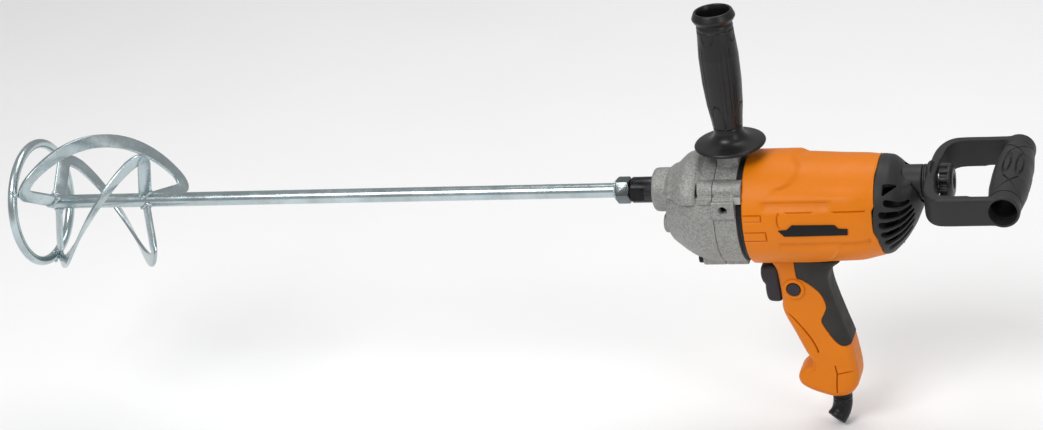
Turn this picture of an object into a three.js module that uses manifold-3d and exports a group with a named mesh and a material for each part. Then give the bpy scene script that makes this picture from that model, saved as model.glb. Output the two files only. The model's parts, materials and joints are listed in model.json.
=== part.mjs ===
// Hand-held drill paint mixer: geared motor, pistol grip, side handle, rear D-handle and mixing paddle.
// Millimetres, +Z up. The tool is drawn with the spindle axis on X (paddle towards -X) and is then moved
// so that the middle of its bounding box is at the origin.

import * as THREE from 'three';
import { mergeVertices } from 'three/addons/utils/BufferGeometryUtils.js';
import Module from 'manifold-3d';

// ---------------------------------------------------------------- driving dimensions

const GAP = 0.3; // clearance left between pieces that touch
const CENTRE_OFFSET = new THREE.Vector3(114.2, 0, 32.5); // spindle nose to the middle of the bounding box

const MOTOR_Z = -17; // motor axis below the spindle axis
const COUNTER_Z = -35; // countershaft axis below the spindle axis

// mixing paddle
const SHAFT_R = 6.25;
const SHAFT_TIP_X = -547;
const NUT_LENGTH = 12.5;
const NUT_ACROSS_FLATS = 20;
const STUD_R = 6.7;
const STUD_DEPTH = 15;
const RING_X = -558;
const RING_R = 53.3;
const RING_WIRE_R = 4.2;
const BLADE_COUNT = 3;
const BLADE_R = 60;
const STRIP_WIDTH = 12;
const STRIP_THICKNESS = 3;
const TIP_HUB_X = -542;
const DRILL_HUB_X = -452;
const TIP_CORNER_X = -551.5;
const DRILL_CORNER_X = -436.5;
const BLADE_WRAP = THREE.MathUtils.degToRad(161);
const FIRST_BLADE_ANGLE = THREE.MathUtils.degToRad(57);
const BLADE_EASE = 0.05; // how much the rim flattens towards its two corners
// Turn of the arms' flat faces out of the plane square to the rod.
const ARM_PITCH = THREE.MathUtils.degToRad(45);
const CORNER_REACH = 14;

// output spindle and gears
const NOSE_R = 11;
const BORE_R = 7;
const BORE_DEPTH = 18;
const JOURNAL_R = 10;
const WRENCH_FLAT = 9.5;
const OUTPUT_GEAR_R = 24.3;
const OUTPUT_GEAR_TEETH = 28;
const COUNTER_PINION_R = 10.3;
const COUNTER_PINION_TEETH = 12;
const COUNTER_GEAR_R = 15.2;
const COUNTER_GEAR_TEETH = 36;
const MOTOR_PINION_R = 2.4;
const MOTOR_PINION_TEETH = 6;

// gear case
const BOSS_R = 19;
const BOSS_FRONT_X = 20.5;
const SPLIT_X = 79.6;
const CASE_R = 46;
const CASE_WALL = 3.5;
const CASE_REAR_X = 98;
const PLATE_REAR_X = 103;
const PAD_X = 88.5;
const PAD_Y = 47.5;
const CASE_SCREW_ANGLES = [26, 132, -132, -26].map(THREE.MathUtils.degToRad);
const CASE_SCREW_RADIUS = 42.5;
const CASE_SCREW_R = 2.4;

// motor and housings
const HOUSING_R = 47.5;
const HOUSING_REAR_X = 212;
const STATOR_R = 42.4;
const STATOR_FRONT_X = 128;
const STATOR_REAR_X = 178;
const ARMATURE_R = 26;
const MOTOR_SHAFT_R = 5;

// side handle
const SIDE_X = 90;
const SIDE_SEAT_Z = 37.5;
const FLANGE_Z = 42;
const FLANGE_R = 29.8;
const SIDE_TOP_Z = 159;
const SIDE_BORE_R = 12.5;

// pistol grip
const GRIP_HALF_WIDTH = 17;
const TRIGGER_TRAVEL = 7;
const LOCK_X = 132;
const LOCK_Z = -86.5;
const LOCK_R = 5.8;
const BOOT_R = 8.4;
const CABLE_R = 4.2;

// rear handle
const REAR_Z = 2;
const NECK_R = 14.5;
const COLLAR_X = 246.8;
const STRAP_X = 250.4;
const STRAP_HALF_HEIGHT = 12;
const REAR_GRIP_X = 317;
const REAR_GRIP_R = 13.4;
const REAR_GRIP_BORE_R = 11.2;
const REAR_GRIP_SWELL = 2.2;
const REAR_HALF_WIDTH = 60;
const EYE_INNER_Y = 46;

// facets round a circle
const FINE = 28;
const ROUND = 18;
const SMALL = 12;

// ---------------------------------------------------------------- materials

const paint = (color, roughness, metalness = 0) =>
  new THREE.MeshStandardMaterial({ color, roughness, metalness });

const FINISH = {
  zinc: paint(0xc4cfd2, 0.3, 0.9),
  blackSteel: paint(0x1b1b1d, 0.35, 0.8),
  steel: paint(0xaeb2b5, 0.35, 0.9),
  casting: paint(0x95968f, 0.6, 0.6),
  orange: paint(0xee8620, 0.45),
  charcoal: paint(0x3b3a3b, 0.6),
  rubber: paint(0x242426, 0.85),
  black: paint(0x151517, 0.5),
  laminate: paint(0x5d5f63, 0.5, 0.7),
  copper: paint(0xb5673a, 0.4, 0.8),
  brass: paint(0xc9a54b, 0.35, 0.9),
  carbon: paint(0x2b2b2d, 0.7),
};

// ---------------------------------------------------------------- helpers

const wasm = await Module();
wasm.setup();

const WELD = 1e-4;
const X_AXIS = new THREE.Vector3(1, 0, 0);
const Y_AXIS = new THREE.Vector3(0, 1, 0);
const Z_AXIS = new THREE.Vector3(0, 0, 1);

const tool = new THREE.Group();

function add(name, geometry, finish) {
  const mesh = new THREE.Mesh(geometry, FINISH[finish]);
  mesh.name = name;
  tool.add(mesh);
}

// Welds a closed geometry and hands it over as a solid for joining and cutting.
function toSolid(geometry) {
  const bare = geometry.clone();
  bare.deleteAttribute('normal');
  bare.deleteAttribute('uv');
  const welded = mergeVertices(bare, WELD);
  const index = welded.index.array;
  const triangles = [];
  for (let i = 0; i < index.length; i += 3) {
    const [a, b, c] = [index[i], index[i + 1], index[i + 2]];
    if (a !== b && b !== c && c !== a) triangles.push(a, b, c);
  }
  const vertProperties = new Float32Array(welded.attributes.position.array);
  const triVerts = new Uint32Array(triangles);
  return new wasm.Manifold(new wasm.Mesh({ numProp: 3, vertProperties, triVerts }));
}

function toGeometry(solid) {
  const mesh = solid.getMesh();
  const geometry = new THREE.BufferGeometry();
  geometry.setAttribute('position', new THREE.BufferAttribute(mesh.vertProperties, 3));
  geometry.setIndex(new THREE.BufferAttribute(mesh.triVerts, 1));
  geometry.computeVertexNormals();
  return geometry;
}

function join(...geometries) {
  return toGeometry(geometries.map(toSolid).reduce((sum, next) => sum.add(next)));
}

function cut(geometry, ...cutters) {
  return toGeometry(cutters.map(toSolid).reduce((rest, next) => rest.subtract(next), toSolid(geometry)));
}

function common(geometry, other) {
  return toGeometry(toSolid(geometry).intersect(toSolid(other)));
}

// A body turned about a line parallel to X at height z. The profile is [x, radius] pairs, outer wall first.
function turnedX(profile, z = 0, segments = ROUND) {
  const points = profile.map(([x, r]) => new THREE.Vector2(r, x));
  return new THREE.LatheGeometry(points, segments).rotateZ(-Math.PI / 2).translate(0, 0, z);
}

// A body turned about a vertical line at (x, 0). The profile is [z, radius] pairs, outer wall first.
function turnedZ(profile, x, segments = ROUND) {
  const points = profile.map(([z, r]) => new THREE.Vector2(r, z));
  return new THREE.LatheGeometry(points, segments).rotateX(Math.PI / 2).translate(x, 0, 0);
}

// A body turned about a line parallel to Y. The profile is [y, radius] pairs, outer wall first.
function turnedY(profile, x, z, segments = ROUND) {
  const points = profile.map(([y, r]) => new THREE.Vector2(r, y));
  return new THREE.LatheGeometry(points, segments).translate(x, 0, z);
}

const rodX = (x0, x1, r, z = 0, y = 0, segments = ROUND) =>
  turnedX([[x0, 0], [x0, r], [x1, r], [x1, 0]], z, segments).translate(0, y, 0);
const rodY = (y0, y1, r, x, z, segments = ROUND) =>
  turnedY([[y0, 0], [y0, r], [y1, r], [y1, 0]], x, z, segments);
const ringX = (x0, x1, inner, outer, z = 0, segments = ROUND) =>
  turnedX([[x0, inner], [x0, outer], [x1, outer], [x1, inner], [x0, inner]], z, segments);

function block(x0, x1, y0, y1, z0, z1) {
  const geometry = new THREE.BoxGeometry(x1 - x0, y1 - y0, z1 - z0);
  return geometry.translate((x0 + x1) / 2, (y0 + y1) / 2, (z0 + z1) / 2);
}

const outline = (points) => new THREE.Shape(points.map(([a, b]) => new THREE.Vector2(a, b)));

const extruded = (shape, depth, curveSegments = SMALL) =>
  new THREE.ExtrudeGeometry(shape, { depth, bevelEnabled: false, curveSegments });

// Extrudes a shape drawn in (Y, Z) along X, one drawn in (X, Z) along Y, or one drawn in (X, Y) along Z.
function prismX(shape, x0, x1) {
  const turn = new THREE.Matrix4().makeBasis(Y_AXIS, Z_AXIS, X_AXIS);
  return extruded(shape, x1 - x0).applyMatrix4(turn).translate(x0, 0, 0);
}

function prismY(shape, y0, y1) {
  return extruded(shape, y1 - y0).rotateX(Math.PI / 2).translate(0, y1, 0);
}

function prismZ(shape, z0, z1) {
  return extruded(shape, z1 - z0).translate(0, 0, z0);
}

// A closed body through round sections [x, z of the centre, radius].
function loftX(sections, segments = FINE) {
  const positions = [];
  const triangles = [];
  for (const [x, z, r] of sections) {
    for (let i = 0; i < segments; i += 1) {
      const angle = (2 * Math.PI * i) / segments;
      positions.push(x, r * Math.cos(angle), z + r * Math.sin(angle));
    }
  }
  for (let s = 0; s + 1 < sections.length; s += 1) {
    for (let i = 0; i < segments; i += 1) {
      const a = s * segments + i;
      const b = s * segments + ((i + 1) % segments);
      triangles.push(a, b, a + segments, b, b + segments, a + segments);
    }
  }
  const last = (sections.length - 1) * segments;
  for (let i = 1; i + 1 < segments; i += 1) {
    triangles.push(0, i + 1, i, last, last + i, last + i + 1);
  }
  return indexed(positions, triangles);
}

function indexed(positions, triangles) {
  const geometry = new THREE.BufferGeometry();
  geometry.setAttribute('position', new THREE.Float32BufferAttribute(positions, 3));
  geometry.setIndex(triangles);
  geometry.computeVertexNormals();
  return geometry;
}

const onCircle = (r, angle) => [r * Math.cos(angle), r * Math.sin(angle)];

// A toothed outline between a root circle and a tip circle.
// The teeth are pointed, or flat-topped for coarse lobes.
function toothedShape(tip, teeth, depth, bore, flatTopped) {
  const pitch = (2 * Math.PI) / teeth;
  const flat = [[-0.32, depth], [-0.2, 0], [0.2, 0], [0.32, depth]];
  const pointed = [[-0.5, depth], [0, 0]];
  const places = flatTopped ? flat : pointed;
  const points = [];
  for (let i = 0; i < teeth; i += 1) {
    for (const [part, drop] of places) points.push(onCircle(tip - drop, (i + part) * pitch));
  }
  const shape = outline(points);
  if (bore) shape.holes.push(new THREE.Path().absarc(0, 0, bore, 0, 2 * Math.PI, true));
  return shape;
}

const gear = (x0, x1, tip, teeth, depth, bore, z) =>
  prismX(toothedShape(tip, teeth, depth, bore, false), x0, x1).translate(0, 0, z);
const lobed = (x0, x1, tip, lobes, depth, bore, z) =>
  prismX(toothedShape(tip, lobes, depth, bore, true), x0, x1).translate(0, 0, z);

// A point at an angle measured from +Z towards -Y, about a line parallel to X.
const around = (angle, r, z = 0) => [-r * Math.sin(angle), z + r * Math.cos(angle)];

// ---------------------------------------------------------------- mixing paddle

// Rim of a blade: t runs from the corner nearest the drill (0) to the corner at the free end (1).
function rimPoint(t, tipAngle, r) {
  const ease = t - (BLADE_EASE * Math.sin(2 * Math.PI * t)) / (2 * Math.PI);
  const x = DRILL_CORNER_X + (TIP_CORNER_X - DRILL_CORNER_X) * ease;
  const [y, z] = around(tipAngle - BLADE_WRAP * (1 - t), r);
  return new THREE.Vector3(x, y, z);
}

function rimTangent(t, tipAngle, r) {
  const step = 0.01;
  const low = Math.max(0, t - step);
  const high = Math.min(1, t + step);
  return rimPoint(high, tipAngle, r).sub(rimPoint(low, tipAngle, r)).normalize();
}

// Stations of a blade's centre line, each with the normal of the flat strip there.
function bladeStations(tipAngle) {
  const line = BLADE_R - STRIP_WIDTH / 2;
  const stations = [];
  const rimSteps = 14;
  const cornerSteps = 4;
  const reach = CORNER_REACH / (BLADE_WRAP * line);
  const rootR = SHAFT_R + 1;
  const arm = (end) => {
    const t = end === 'drill' ? 0 : 1;
    const corner = rimPoint(t, tipAngle, line);
    const [y, z] = around(t === 0 ? tipAngle - BLADE_WRAP : tipAngle, rootR);
    const root = new THREE.Vector3(t === 0 ? DRILL_HUB_X : TIP_HUB_X, y, z);
    const along = corner.clone().sub(root).normalize();
    const round = X_AXIS.clone().cross(along).normalize();
    const width = round.multiplyScalar(Math.cos(ARM_PITCH)).addScaledVector(X_AXIS, -Math.sin(ARM_PITCH));
    const normal = along.clone().cross(width).normalize();
    const knee = corner.clone().addScaledVector(along, -CORNER_REACH);
    return { corner, root, knee, normal };
  };
  const rimNormal = (t) => {
    const point = rimPoint(t, tipAngle, line);
    const outward = new THREE.Vector3(0, point.y, point.z).normalize();
    return outward.cross(rimTangent(t, tipAngle, line)).normalize();
  };
  const bend = (from, corner, to, normalFrom, normalTo) => {
    for (let i = 0; i <= cornerSteps; i += 1) {
      const s = i / cornerSteps;
      const normal = normalFrom.clone().lerp(normalTo, s).normalize();
      const point = from.clone().multiplyScalar((1 - s) * (1 - s));
      point.addScaledVector(corner, 2 * s * (1 - s)).addScaledVector(to, s * s);
      stations.push({ point, normal });
    }
  };
  const drill = arm('drill');
  const tip = arm('tip');
  stations.push({ point: drill.root, normal: drill.normal });
  bend(drill.knee, drill.corner, rimPoint(reach, tipAngle, line), drill.normal, rimNormal(reach));
  for (let i = 1; i < rimSteps; i += 1) {
    const t = reach + ((1 - 2 * reach) * i) / rimSteps;
    stations.push({ point: rimPoint(t, tipAngle, line), normal: rimNormal(t) });
  }
  bend(rimPoint(1 - reach, tipAngle, line), tip.corner, tip.knee, rimNormal(1 - reach), tip.normal);
  stations.push({ point: tip.root, normal: tip.normal });
  return stations;
}

// Flat bar of constant section swept through the stations.
function sweptStrip(stations, width, thickness) {
  const positions = [];
  const triangles = [];
  stations.forEach(({ point, normal }, i) => {
    const before = stations[Math.max(0, i - 1)].point;
    const after = stations[Math.min(stations.length - 1, i + 1)].point;
    const along = after.clone().sub(before).normalize();
    const across = normal.clone().cross(along).normalize();
    const face = along.clone().cross(across).normalize();
    for (const [u, v] of [[-1, -1], [1, -1], [1, 1], [-1, 1]]) {
      const corner = point.clone();
      corner.addScaledVector(across, (u * width) / 2).addScaledVector(face, (v * thickness) / 2);
      positions.push(corner.x, corner.y, corner.z);
    }
  });
  for (let s = 0; s + 1 < stations.length; s += 1) {
    for (let k = 0; k < 4; k += 1) {
      const a = 4 * s + k;
      const b = 4 * s + ((k + 1) % 4);
      triangles.push(a, b, a + 4, b, b + 4, a + 4);
    }
  }
  const last = 4 * (stations.length - 1);
  triangles.push(0, 2, 1, 0, 3, 2, last, last + 1, last + 2, last, last + 2, last + 3);
  return indexed(positions, triangles);
}

function hexagon(acrossFlats) {
  const corner = acrossFlats / Math.sqrt(3);
  return outline([0, 1, 2, 3, 4, 5].map((i) => {
    const angle = (Math.PI / 3) * i;
    return [corner * Math.cos(angle), corner * Math.sin(angle)];
  }));
}

function buildPaddle() {
  const ring = new THREE.TorusGeometry(RING_R, RING_WIRE_R, 8, FINE).rotateY(Math.PI / 2);
  add('paddle_ring', ring.translate(RING_X, 0, 0), 'zinc');
  for (let i = 0; i < BLADE_COUNT; i += 1) {
    const angle = FIRST_BLADE_ANGLE + (2 * Math.PI * i) / BLADE_COUNT;
    add(`paddle_blade_${i + 1}`, sweptStrip(bladeStations(angle), STRIP_WIDTH, STRIP_THICKNESS), 'zinc');
  }
  add('paddle_shaft', rodX(SHAFT_TIP_X, -NUT_LENGTH - GAP, SHAFT_R, 0, 0, 16), 'zinc');
  const nut = prismX(hexagon(NUT_ACROSS_FLATS), -NUT_LENGTH, -GAP);
  add('paddle_hex_adapter', join(nut, rodX(-1, STUD_DEPTH, STUD_R, 0, 0, 16)), 'zinc');
}

// ---------------------------------------------------------------- output spindle and gear train

const GEAR_FRONT_X = 65.5;
const GEAR_REAR_X = 78;
const SPINDLE_END_X = 87.4;
const SPINDLE_TAIL_R = 6;

function buildSpindle() {
  const profile = [
    [BORE_DEPTH, 0], [BORE_DEPTH, BORE_R], [0, BORE_R], [0, NOSE_R - 1.4], [1.4, NOSE_R],
    [20.6, NOSE_R], [20.6, JOURNAL_R], [40, JOURNAL_R], [40, 12], [GEAR_FRONT_X - GAP, 12],
    [GEAR_FRONT_X - GAP, JOURNAL_R], [79, JOURNAL_R], [79, SPINDLE_TAIL_R],
    [SPINDLE_END_X, SPINDLE_TAIL_R], [SPINDLE_END_X, 0],
  ];
  const flats = [-1, 1].map((side) => {
    const near = side * WRENCH_FLAT;
    const far = side * (NOSE_R + 1);
    return block(-1, 13, Math.min(near, far), Math.max(near, far), -NOSE_R, NOSE_R);
  });
  add('output_spindle', cut(turnedX(profile), ...flats), 'blackSteel');
  const wheel = gear(GEAR_FRONT_X, GEAR_REAR_X, OUTPUT_GEAR_R, OUTPUT_GEAR_TEETH, 3, JOURNAL_R + GAP, 0);
  add('output_gear', wheel, 'steel');
  add('spindle_seal', ringX(21, 24, JOURNAL_R + GAP, 15.8), 'rubber');
  add('spindle_front_bearing', ringX(24.4, 33.4, JOURNAL_R + GAP, 15.8), 'steel');
  add('spindle_rear_bearing', ringX(81, 87.4, SPINDLE_TAIL_R + GAP, 8.8, 0, 16), 'steel');
}

const COUNTER_R = 4;

function buildCountershaft() {
  const shaft = rodX(30.2, 95, COUNTER_R, 0, 0, 16);
  const pinion = gear(64, 79, COUNTER_PINION_R, COUNTER_PINION_TEETH, 2.6, 0, 0);
  add('countershaft', join(shaft, pinion).translate(0, 0, COUNTER_Z), 'steel');
  const wheel = gear(80.4, 86.6, COUNTER_GEAR_R, COUNTER_GEAR_TEETH, 1.4, COUNTER_R + GAP, COUNTER_Z);
  add('countershaft_gear', wheel, 'steel');
  add('countershaft_front_bearing', ringX(30.2, 37.2, COUNTER_R + GAP, 7.8, COUNTER_Z, 16), 'steel');
  add('countershaft_rear_bearing', ringX(88.6, 95, COUNTER_R + GAP, 6.2, COUNTER_Z, 16), 'steel');
}

// ---------------------------------------------------------------- gear case

const caseScrewPlaces = () =>
  CASE_SCREW_ANGLES.map((angle) => around(angle + Math.PI, CASE_SCREW_RADIUS, MOTOR_Z));
const LUG_R = 6;
const DRUM_WIDENING = 1.3; // the bulge over the output gear is wider than it is high
const POST_R = 7.6;
const POCKET_R = 5;
const LUG_FRONT_X = 60;

// Solid metal kept round each screw, and the pocket that its head sits in.
const screwPosts = (x0, x1) => caseScrewPlaces().map(([y, z]) => rodX(x0, x1, POST_R, z, y, SMALL));
const screwPockets = () => caseScrewPlaces().map(([y, z]) => rodX(40, LUG_FRONT_X, POCKET_R, z, y, SMALL));

function screwHoles(x0, x1) {
  return caseScrewPlaces().map(([y, z]) => rodX(x0, x1, CASE_SCREW_R + GAP, z, y, 8));
}

function buildFrontCover() {
  const skin = [[33, 24], [36, 27.5], [54, 40.5], [61, 43.4], [67, 45.4], [SPLIT_X - GAP, CASE_R]];
  const shell = turnedX([[33, 0], ...skin, [SPLIT_X - GAP, 0]], MOTOR_Z, FINE);
  const boss = turnedX([
    [BOSS_FRONT_X, 0], [BOSS_FRONT_X, BOSS_R - 3.5], [BOSS_FRONT_X + 3.5, BOSS_R], [42, BOSS_R], [42, 0],
  ], 0, FINE);
  const counterBoss = turnedX([[26, 0], [26, 9.5], [28, 11.5], [48, 11.5], [48, 0]], COUNTER_Z);
  const drumProfile = [[34, 0], [34, 16], [37, 19.5], [41, 21], [52, 27], [61, 28], [61, 0]];
  const drum = turnedX(drumProfile, 0, FINE).scale(1, DRUM_WIDENING, 1);
  const upperDrum = common(drum, block(30, 70, -60, 60, -1, 40));
  const lugs = caseScrewPlaces().map(([y, z]) => rodX(LUG_FRONT_X, SPLIT_X - GAP, LUG_R, z, y, SMALL));
  const body = join(shell, boss, counterBoss, upperDrum, ...lugs);
  const cavity = turnedX([
    [44, 0], [44, 29], [54, 40.5 - CASE_WALL], [61, 43.4 - CASE_WALL], [67, CASE_R - CASE_WALL],
    [SPLIT_X + 1, CASE_R - CASE_WALL], [SPLIT_X + 1, 0],
  ], MOTOR_Z, FINE);
  const cutters = [
    cut(cavity, ...screwPosts(40, SPLIT_X + 2)),
    ...screwPockets(),
    rodX(BOSS_FRONT_X - 1, 33.8, 16.1),
    rodX(33, 50, 13),
    rodX(29.6, 37.6, 8.1, COUNTER_Z, 0, 16),
    rodX(37, 50, 6, COUNTER_Z, 0, 16),
    ...screwHoles(LUG_FRONT_X - 1, SPLIT_X + 1),
  ];
  add('gearbox_front_cover', cut(body, ...cutters), 'casting');
}

function buildRearCase() {
  const shell = rodX(SPLIT_X, CASE_REAR_X, CASE_R, MOTOR_Z, 0, FINE);
  const lugs = caseScrewPlaces().map(([y, z]) => rodX(SPLIT_X, CASE_REAR_X, LUG_R, z, y, SMALL));
  const nearPad = block(SPLIT_X, CASE_REAR_X, -PAD_Y, 0, -6, 9);
  const farPad = block(SPLIT_X, CASE_REAR_X, 0, PAD_Y, -6, 9);
  const pads = [nearPad, farPad];
  const seat = block(SPLIT_X + 1, CASE_REAR_X, -13, 13, 10, SIDE_SEAT_Z);
  const body = join(shell, seat, ...lugs, ...pads);
  const inner = rodX(SPLIT_X - 1, 88, CASE_R - CASE_WALL, MOTOR_Z, 0, FINE);
  const bearingBoss = rodX(80.4, 90, 12.5);
  const studWall = block(SPLIT_X - 2, 90, -13, 13, 9, 60);
  const hollow = cut(inner, bearingBoss, studWall, ...screwPosts(SPLIT_X - 2, 90));
  const cutters = [
    hollow,
    rodX(80, 87.8, 9.1, 0, 0, 16),
    rodX(89.6, CASE_REAR_X + 1, 10.8, MOTOR_Z),
    rodX(87, 91, MOTOR_SHAFT_R + 1, MOTOR_Z, 0, 16),
    rodX(87, 95.4, 6.5, COUNTER_Z, 0, 16),
    ...screwHoles(SPLIT_X - 1, CASE_REAR_X + 1),
    rodY(PAD_Y - 12, PAD_Y + 1, 4, PAD_X, 1.4, SMALL),
    rodY(-PAD_Y - 1, 12 - PAD_Y, 4, PAD_X, 1.4, SMALL),
    turnedZ([[14, 0], [14, 6.3], [SIDE_SEAT_Z + 1, 6.3], [SIDE_SEAT_Z + 1, 0]], SIDE_X, SMALL),
  ];
  add('gearbox_rear_case', cut(body, ...cutters), 'casting');
}

function buildAdapterPlate() {
  const plate = ringX(CASE_REAR_X + GAP, PLATE_REAR_X, 30, CASE_R - 1.5, MOTOR_Z, FINE);
  add('motor_adapter_plate', cut(plate, ...screwHoles(CASE_REAR_X, PLATE_REAR_X + 1)), 'black');
}

function buildCaseScrews() {
  caseScrewPlaces().forEach(([y, z], i) => {
    const head = LUG_FRONT_X - GAP;
    const screw = turnedX([
      [head - 4, 0], [head - 4, 3.4], [head - 3.2, 4.3], [head, 4.3], [head, CASE_SCREW_R],
      [111, CASE_SCREW_R], [111, 0],
    ], z, SMALL).translate(0, y, 0);
    add(`gearcase_screw_${i + 1}`, screw, 'steel');
  });
}

// ---------------------------------------------------------------- motor

function annularSector(inner, outer, middle, half) {
  const shape = new THREE.Shape();
  shape.absarc(0, 0, outer, middle - half, middle + half, false);
  shape.absarc(0, 0, inner, middle + half, middle - half, true);
  shape.closePath();
  return shape;
}

const ARC_SEGMENTS = 6;
const sectorX = (x0, x1, inner, outer, middle, half) => {
  const turn = new THREE.Matrix4().makeBasis(Y_AXIS, Z_AXIS, X_AXIS);
  const shape = annularSector(inner, outer, middle, half);
  return extruded(shape, x1 - x0, ARC_SEGMENTS).applyMatrix4(turn).translate(x0, 0, MOTOR_Z);
};

const COIL_INNER_R = 30;
const COIL_OUTER_R = 37;
const COIL_HALF_ANGLE = THREE.MathUtils.degToRad(62);
const POLE_HALF_ANGLE = THREE.MathUtils.degToRad(42);

function buildStator() {
  const pole = [Math.PI / 2, -Math.PI / 2];
  const throughSector = (inner, outer, middle, half) => {
    return sectorX(STATOR_FRONT_X - 1, STATOR_REAR_X + 1, inner, outer, middle, half);
  };
  const yoke = ringX(STATOR_FRONT_X, STATOR_REAR_X, 27.2, STATOR_R, MOTOR_Z, FINE);
  const slots = pole.flatMap((middle) => [-1, 1].map((side) => {
    const angle = middle + side * (COIL_HALF_ANGLE + POLE_HALF_ANGLE) / 2;
    const half = (COIL_HALF_ANGLE - POLE_HALF_ANGLE) / 2 + 0.02;
    return throughSector(COIL_INNER_R - 0.4, COIL_OUTER_R + 0.4, angle, half);
  }));
  const gaps = [0, Math.PI].map((middle) => {
    return throughSector(26, COIL_OUTER_R + 0.4, middle, Math.PI / 2 - COIL_HALF_ANGLE + 0.03);
  });
  add('stator_core', cut(yoke, ...slots, ...gaps), 'laminate');
  pole.forEach((middle, i) => {
    const full = sectorX(
      STATOR_FRONT_X - 6, STATOR_REAR_X + 6,
      COIL_INNER_R, COIL_OUTER_R, middle, COIL_HALF_ANGLE,
    );
    const window = sectorX(
      STATOR_FRONT_X - 0.4, STATOR_REAR_X + 0.4,
      COIL_INNER_R - 2, COIL_OUTER_R + 2, middle, POLE_HALF_ANGLE + 0.03,
    );
    add(`field_coil_${i + 1}`, cut(full, window), 'copper');
  });
}

const FAN_FRONT_X = 106;
const FAN_BACK_X = 118;
const FAN_BLADES = 9;

function buildArmature() {
  const shaft = turnedX([
    [79.8, 0], [79.8, 1.6], [89.4, 1.6], [89.4, 4], [98, 4], [98, MOTOR_SHAFT_R], [212, MOTOR_SHAFT_R],
    [212, 4], [222, 4], [222, 0],
  ], 0, 16);
  const pinion = gear(79.8, 89, MOTOR_PINION_R, MOTOR_PINION_TEETH, 0.8, 0, 0);
  add('armature_shaft', join(shaft, pinion).translate(0, 0, MOTOR_Z), 'steel');
  const core = lobed(STATOR_FRONT_X, STATOR_REAR_X, ARMATURE_R, 12, 6, MOTOR_SHAFT_R + GAP, MOTOR_Z);
  add('armature_core', core, 'laminate');
  add('commutator', gear(192, 208, 12, 16, 0.5, MOTOR_SHAFT_R + GAP, MOTOR_Z), 'copper');
  const hub = ringX(FAN_FRONT_X, FAN_BACK_X, MOTOR_SHAFT_R + GAP, 9);
  const disc = ringX(FAN_FRONT_X, FAN_FRONT_X + 2, MOTOR_SHAFT_R + GAP, 36.5);
  const blades = Array.from({ length: FAN_BLADES }, (_, i) => {
    const blade = block(FAN_FRONT_X + 1, FAN_BACK_X, -0.9, 0.9, 8, 35.5);
    return blade.rotateX((2 * Math.PI * i) / FAN_BLADES);
  });
  add('cooling_fan', join(hub, disc, ...blades).translate(0, 0, MOTOR_Z), 'black');
  add('armature_front_bearing', ringX(90, 97, 4 + GAP, 10.5, MOTOR_Z), 'steel');
  add('armature_rear_bearing', ringX(214, 221, 4 + GAP, 10.6, MOTOR_Z), 'steel');
}

const BRUSH_X = 200;

function buildBrushes() {
  [['left', -1], ['right', 1]].forEach(([name, side]) => {
    const inner = side * 12.6;
    const span = (from, to) => [Math.min(side * from, side * to), Math.max(side * from, side * to)];
    const [h0, h1] = span(14, 33);
    const tube = block(BRUSH_X - 5.5, BRUSH_X + 5.5, h0, h1, MOTOR_Z - 7, MOTOR_Z + 7);
    const [c0, c1] = span(12, 34);
    const hole = block(BRUSH_X - 3.6, BRUSH_X + 3.6, c0, c1, MOTOR_Z - 5, MOTOR_Z + 5);
    add(`brush_holder_${name}`, cut(tube, hole), 'brass');
    const [b0, b1] = span(Math.abs(inner), 26);
    const brush = block(BRUSH_X - 3.2, BRUSH_X + 3.2, b0, b1, MOTOR_Z - 4.6, MOTOR_Z + 4.6);
    add(`carbon_brush_${name}`, brush, 'carbon');
  });
}

function buildMotorHousing() {
  const wall = turnedX([
    [PLATE_REAR_X + GAP, 38.5], [PLATE_REAR_X + GAP, HOUSING_R - 1], [105, HOUSING_R], [146, HOUSING_R],
    [151, 45.6], [195, 44.4], [HOUSING_REAR_X, 41.7], [HOUSING_REAR_X, 38.7], [184, 39.5], [182, 42.8],
    [114, 42.8], [112, 38.5], [PLATE_REAR_X + GAP, 38.5],
  ], MOTOR_Z, FINE);
  add('motor_housing', cut(wall, ...screwHoles(PLATE_REAR_X, 111.5)), 'orange');
  const plate = outline([
    [132.8, -16.6], [139.8, -16.2], [144.6, -12], [179.3, -12.7],
    [182.6, -16.1], [189.9, -16.6], [189.3, -22], [137.4, -22],
  ]);
  add('badge_strip', prismY(plate, -HOUSING_R - 1, -HOUSING_R - 0.4), 'black');
}

// ---------------------------------------------------------------- rear cover

const DOME = [
  [212.4, MOTOR_Z, 41.6], [219, -16.6, 39.8], [226, -15.2, 36], [233, -12.6, 30.5], [239, -8.6, 24.5],
  [243.5, -4, 18.5], [246.4, -0.5, 12],
];
const VENT_ANGLES = [-58, -34, -10, 14, 38].map(THREE.MathUtils.degToRad);

function buildRearCover() {
  const neck = rodX(226, 246.4, NECK_R, REAR_Z, 0, FINE);
  const inner = DOME.slice(0, -1).map(([x, z, r], i) => [i === 0 ? x - 1 : x - 1.5, z, r - 3]);
  const seat = rodX(213, 244, 14, MOTOR_Z);
  const vents = [-1, 1].flatMap((side) => VENT_ANGLES.map((angle) => {
    const slot = block(217, 238, Math.min(side * 16, side * 50), Math.max(side * 16, side * 50), -1.4, 1.4);
    return slot.rotateX(side * -angle).translate(0, 0, MOTOR_Z);
  }));
  const outer = join(loftX(DOME), neck);
  const seatInside = common(seat, loftX(DOME));
  const shell = join(cut(outer, loftX(inner)), seatInside);
  const cutters = [
    rodX(212, 223, 10.9, MOTOR_Z),
    rodX(222, 225, 8, MOTOR_Z, 0, SMALL),
    rodX(235, 250, 4.4, REAR_Z, 0, SMALL),
    ...vents,
  ];
  add('rear_cover', cut(shell, ...cutters), 'charcoal');
}

// ---------------------------------------------------------------- pistol grip

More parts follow.
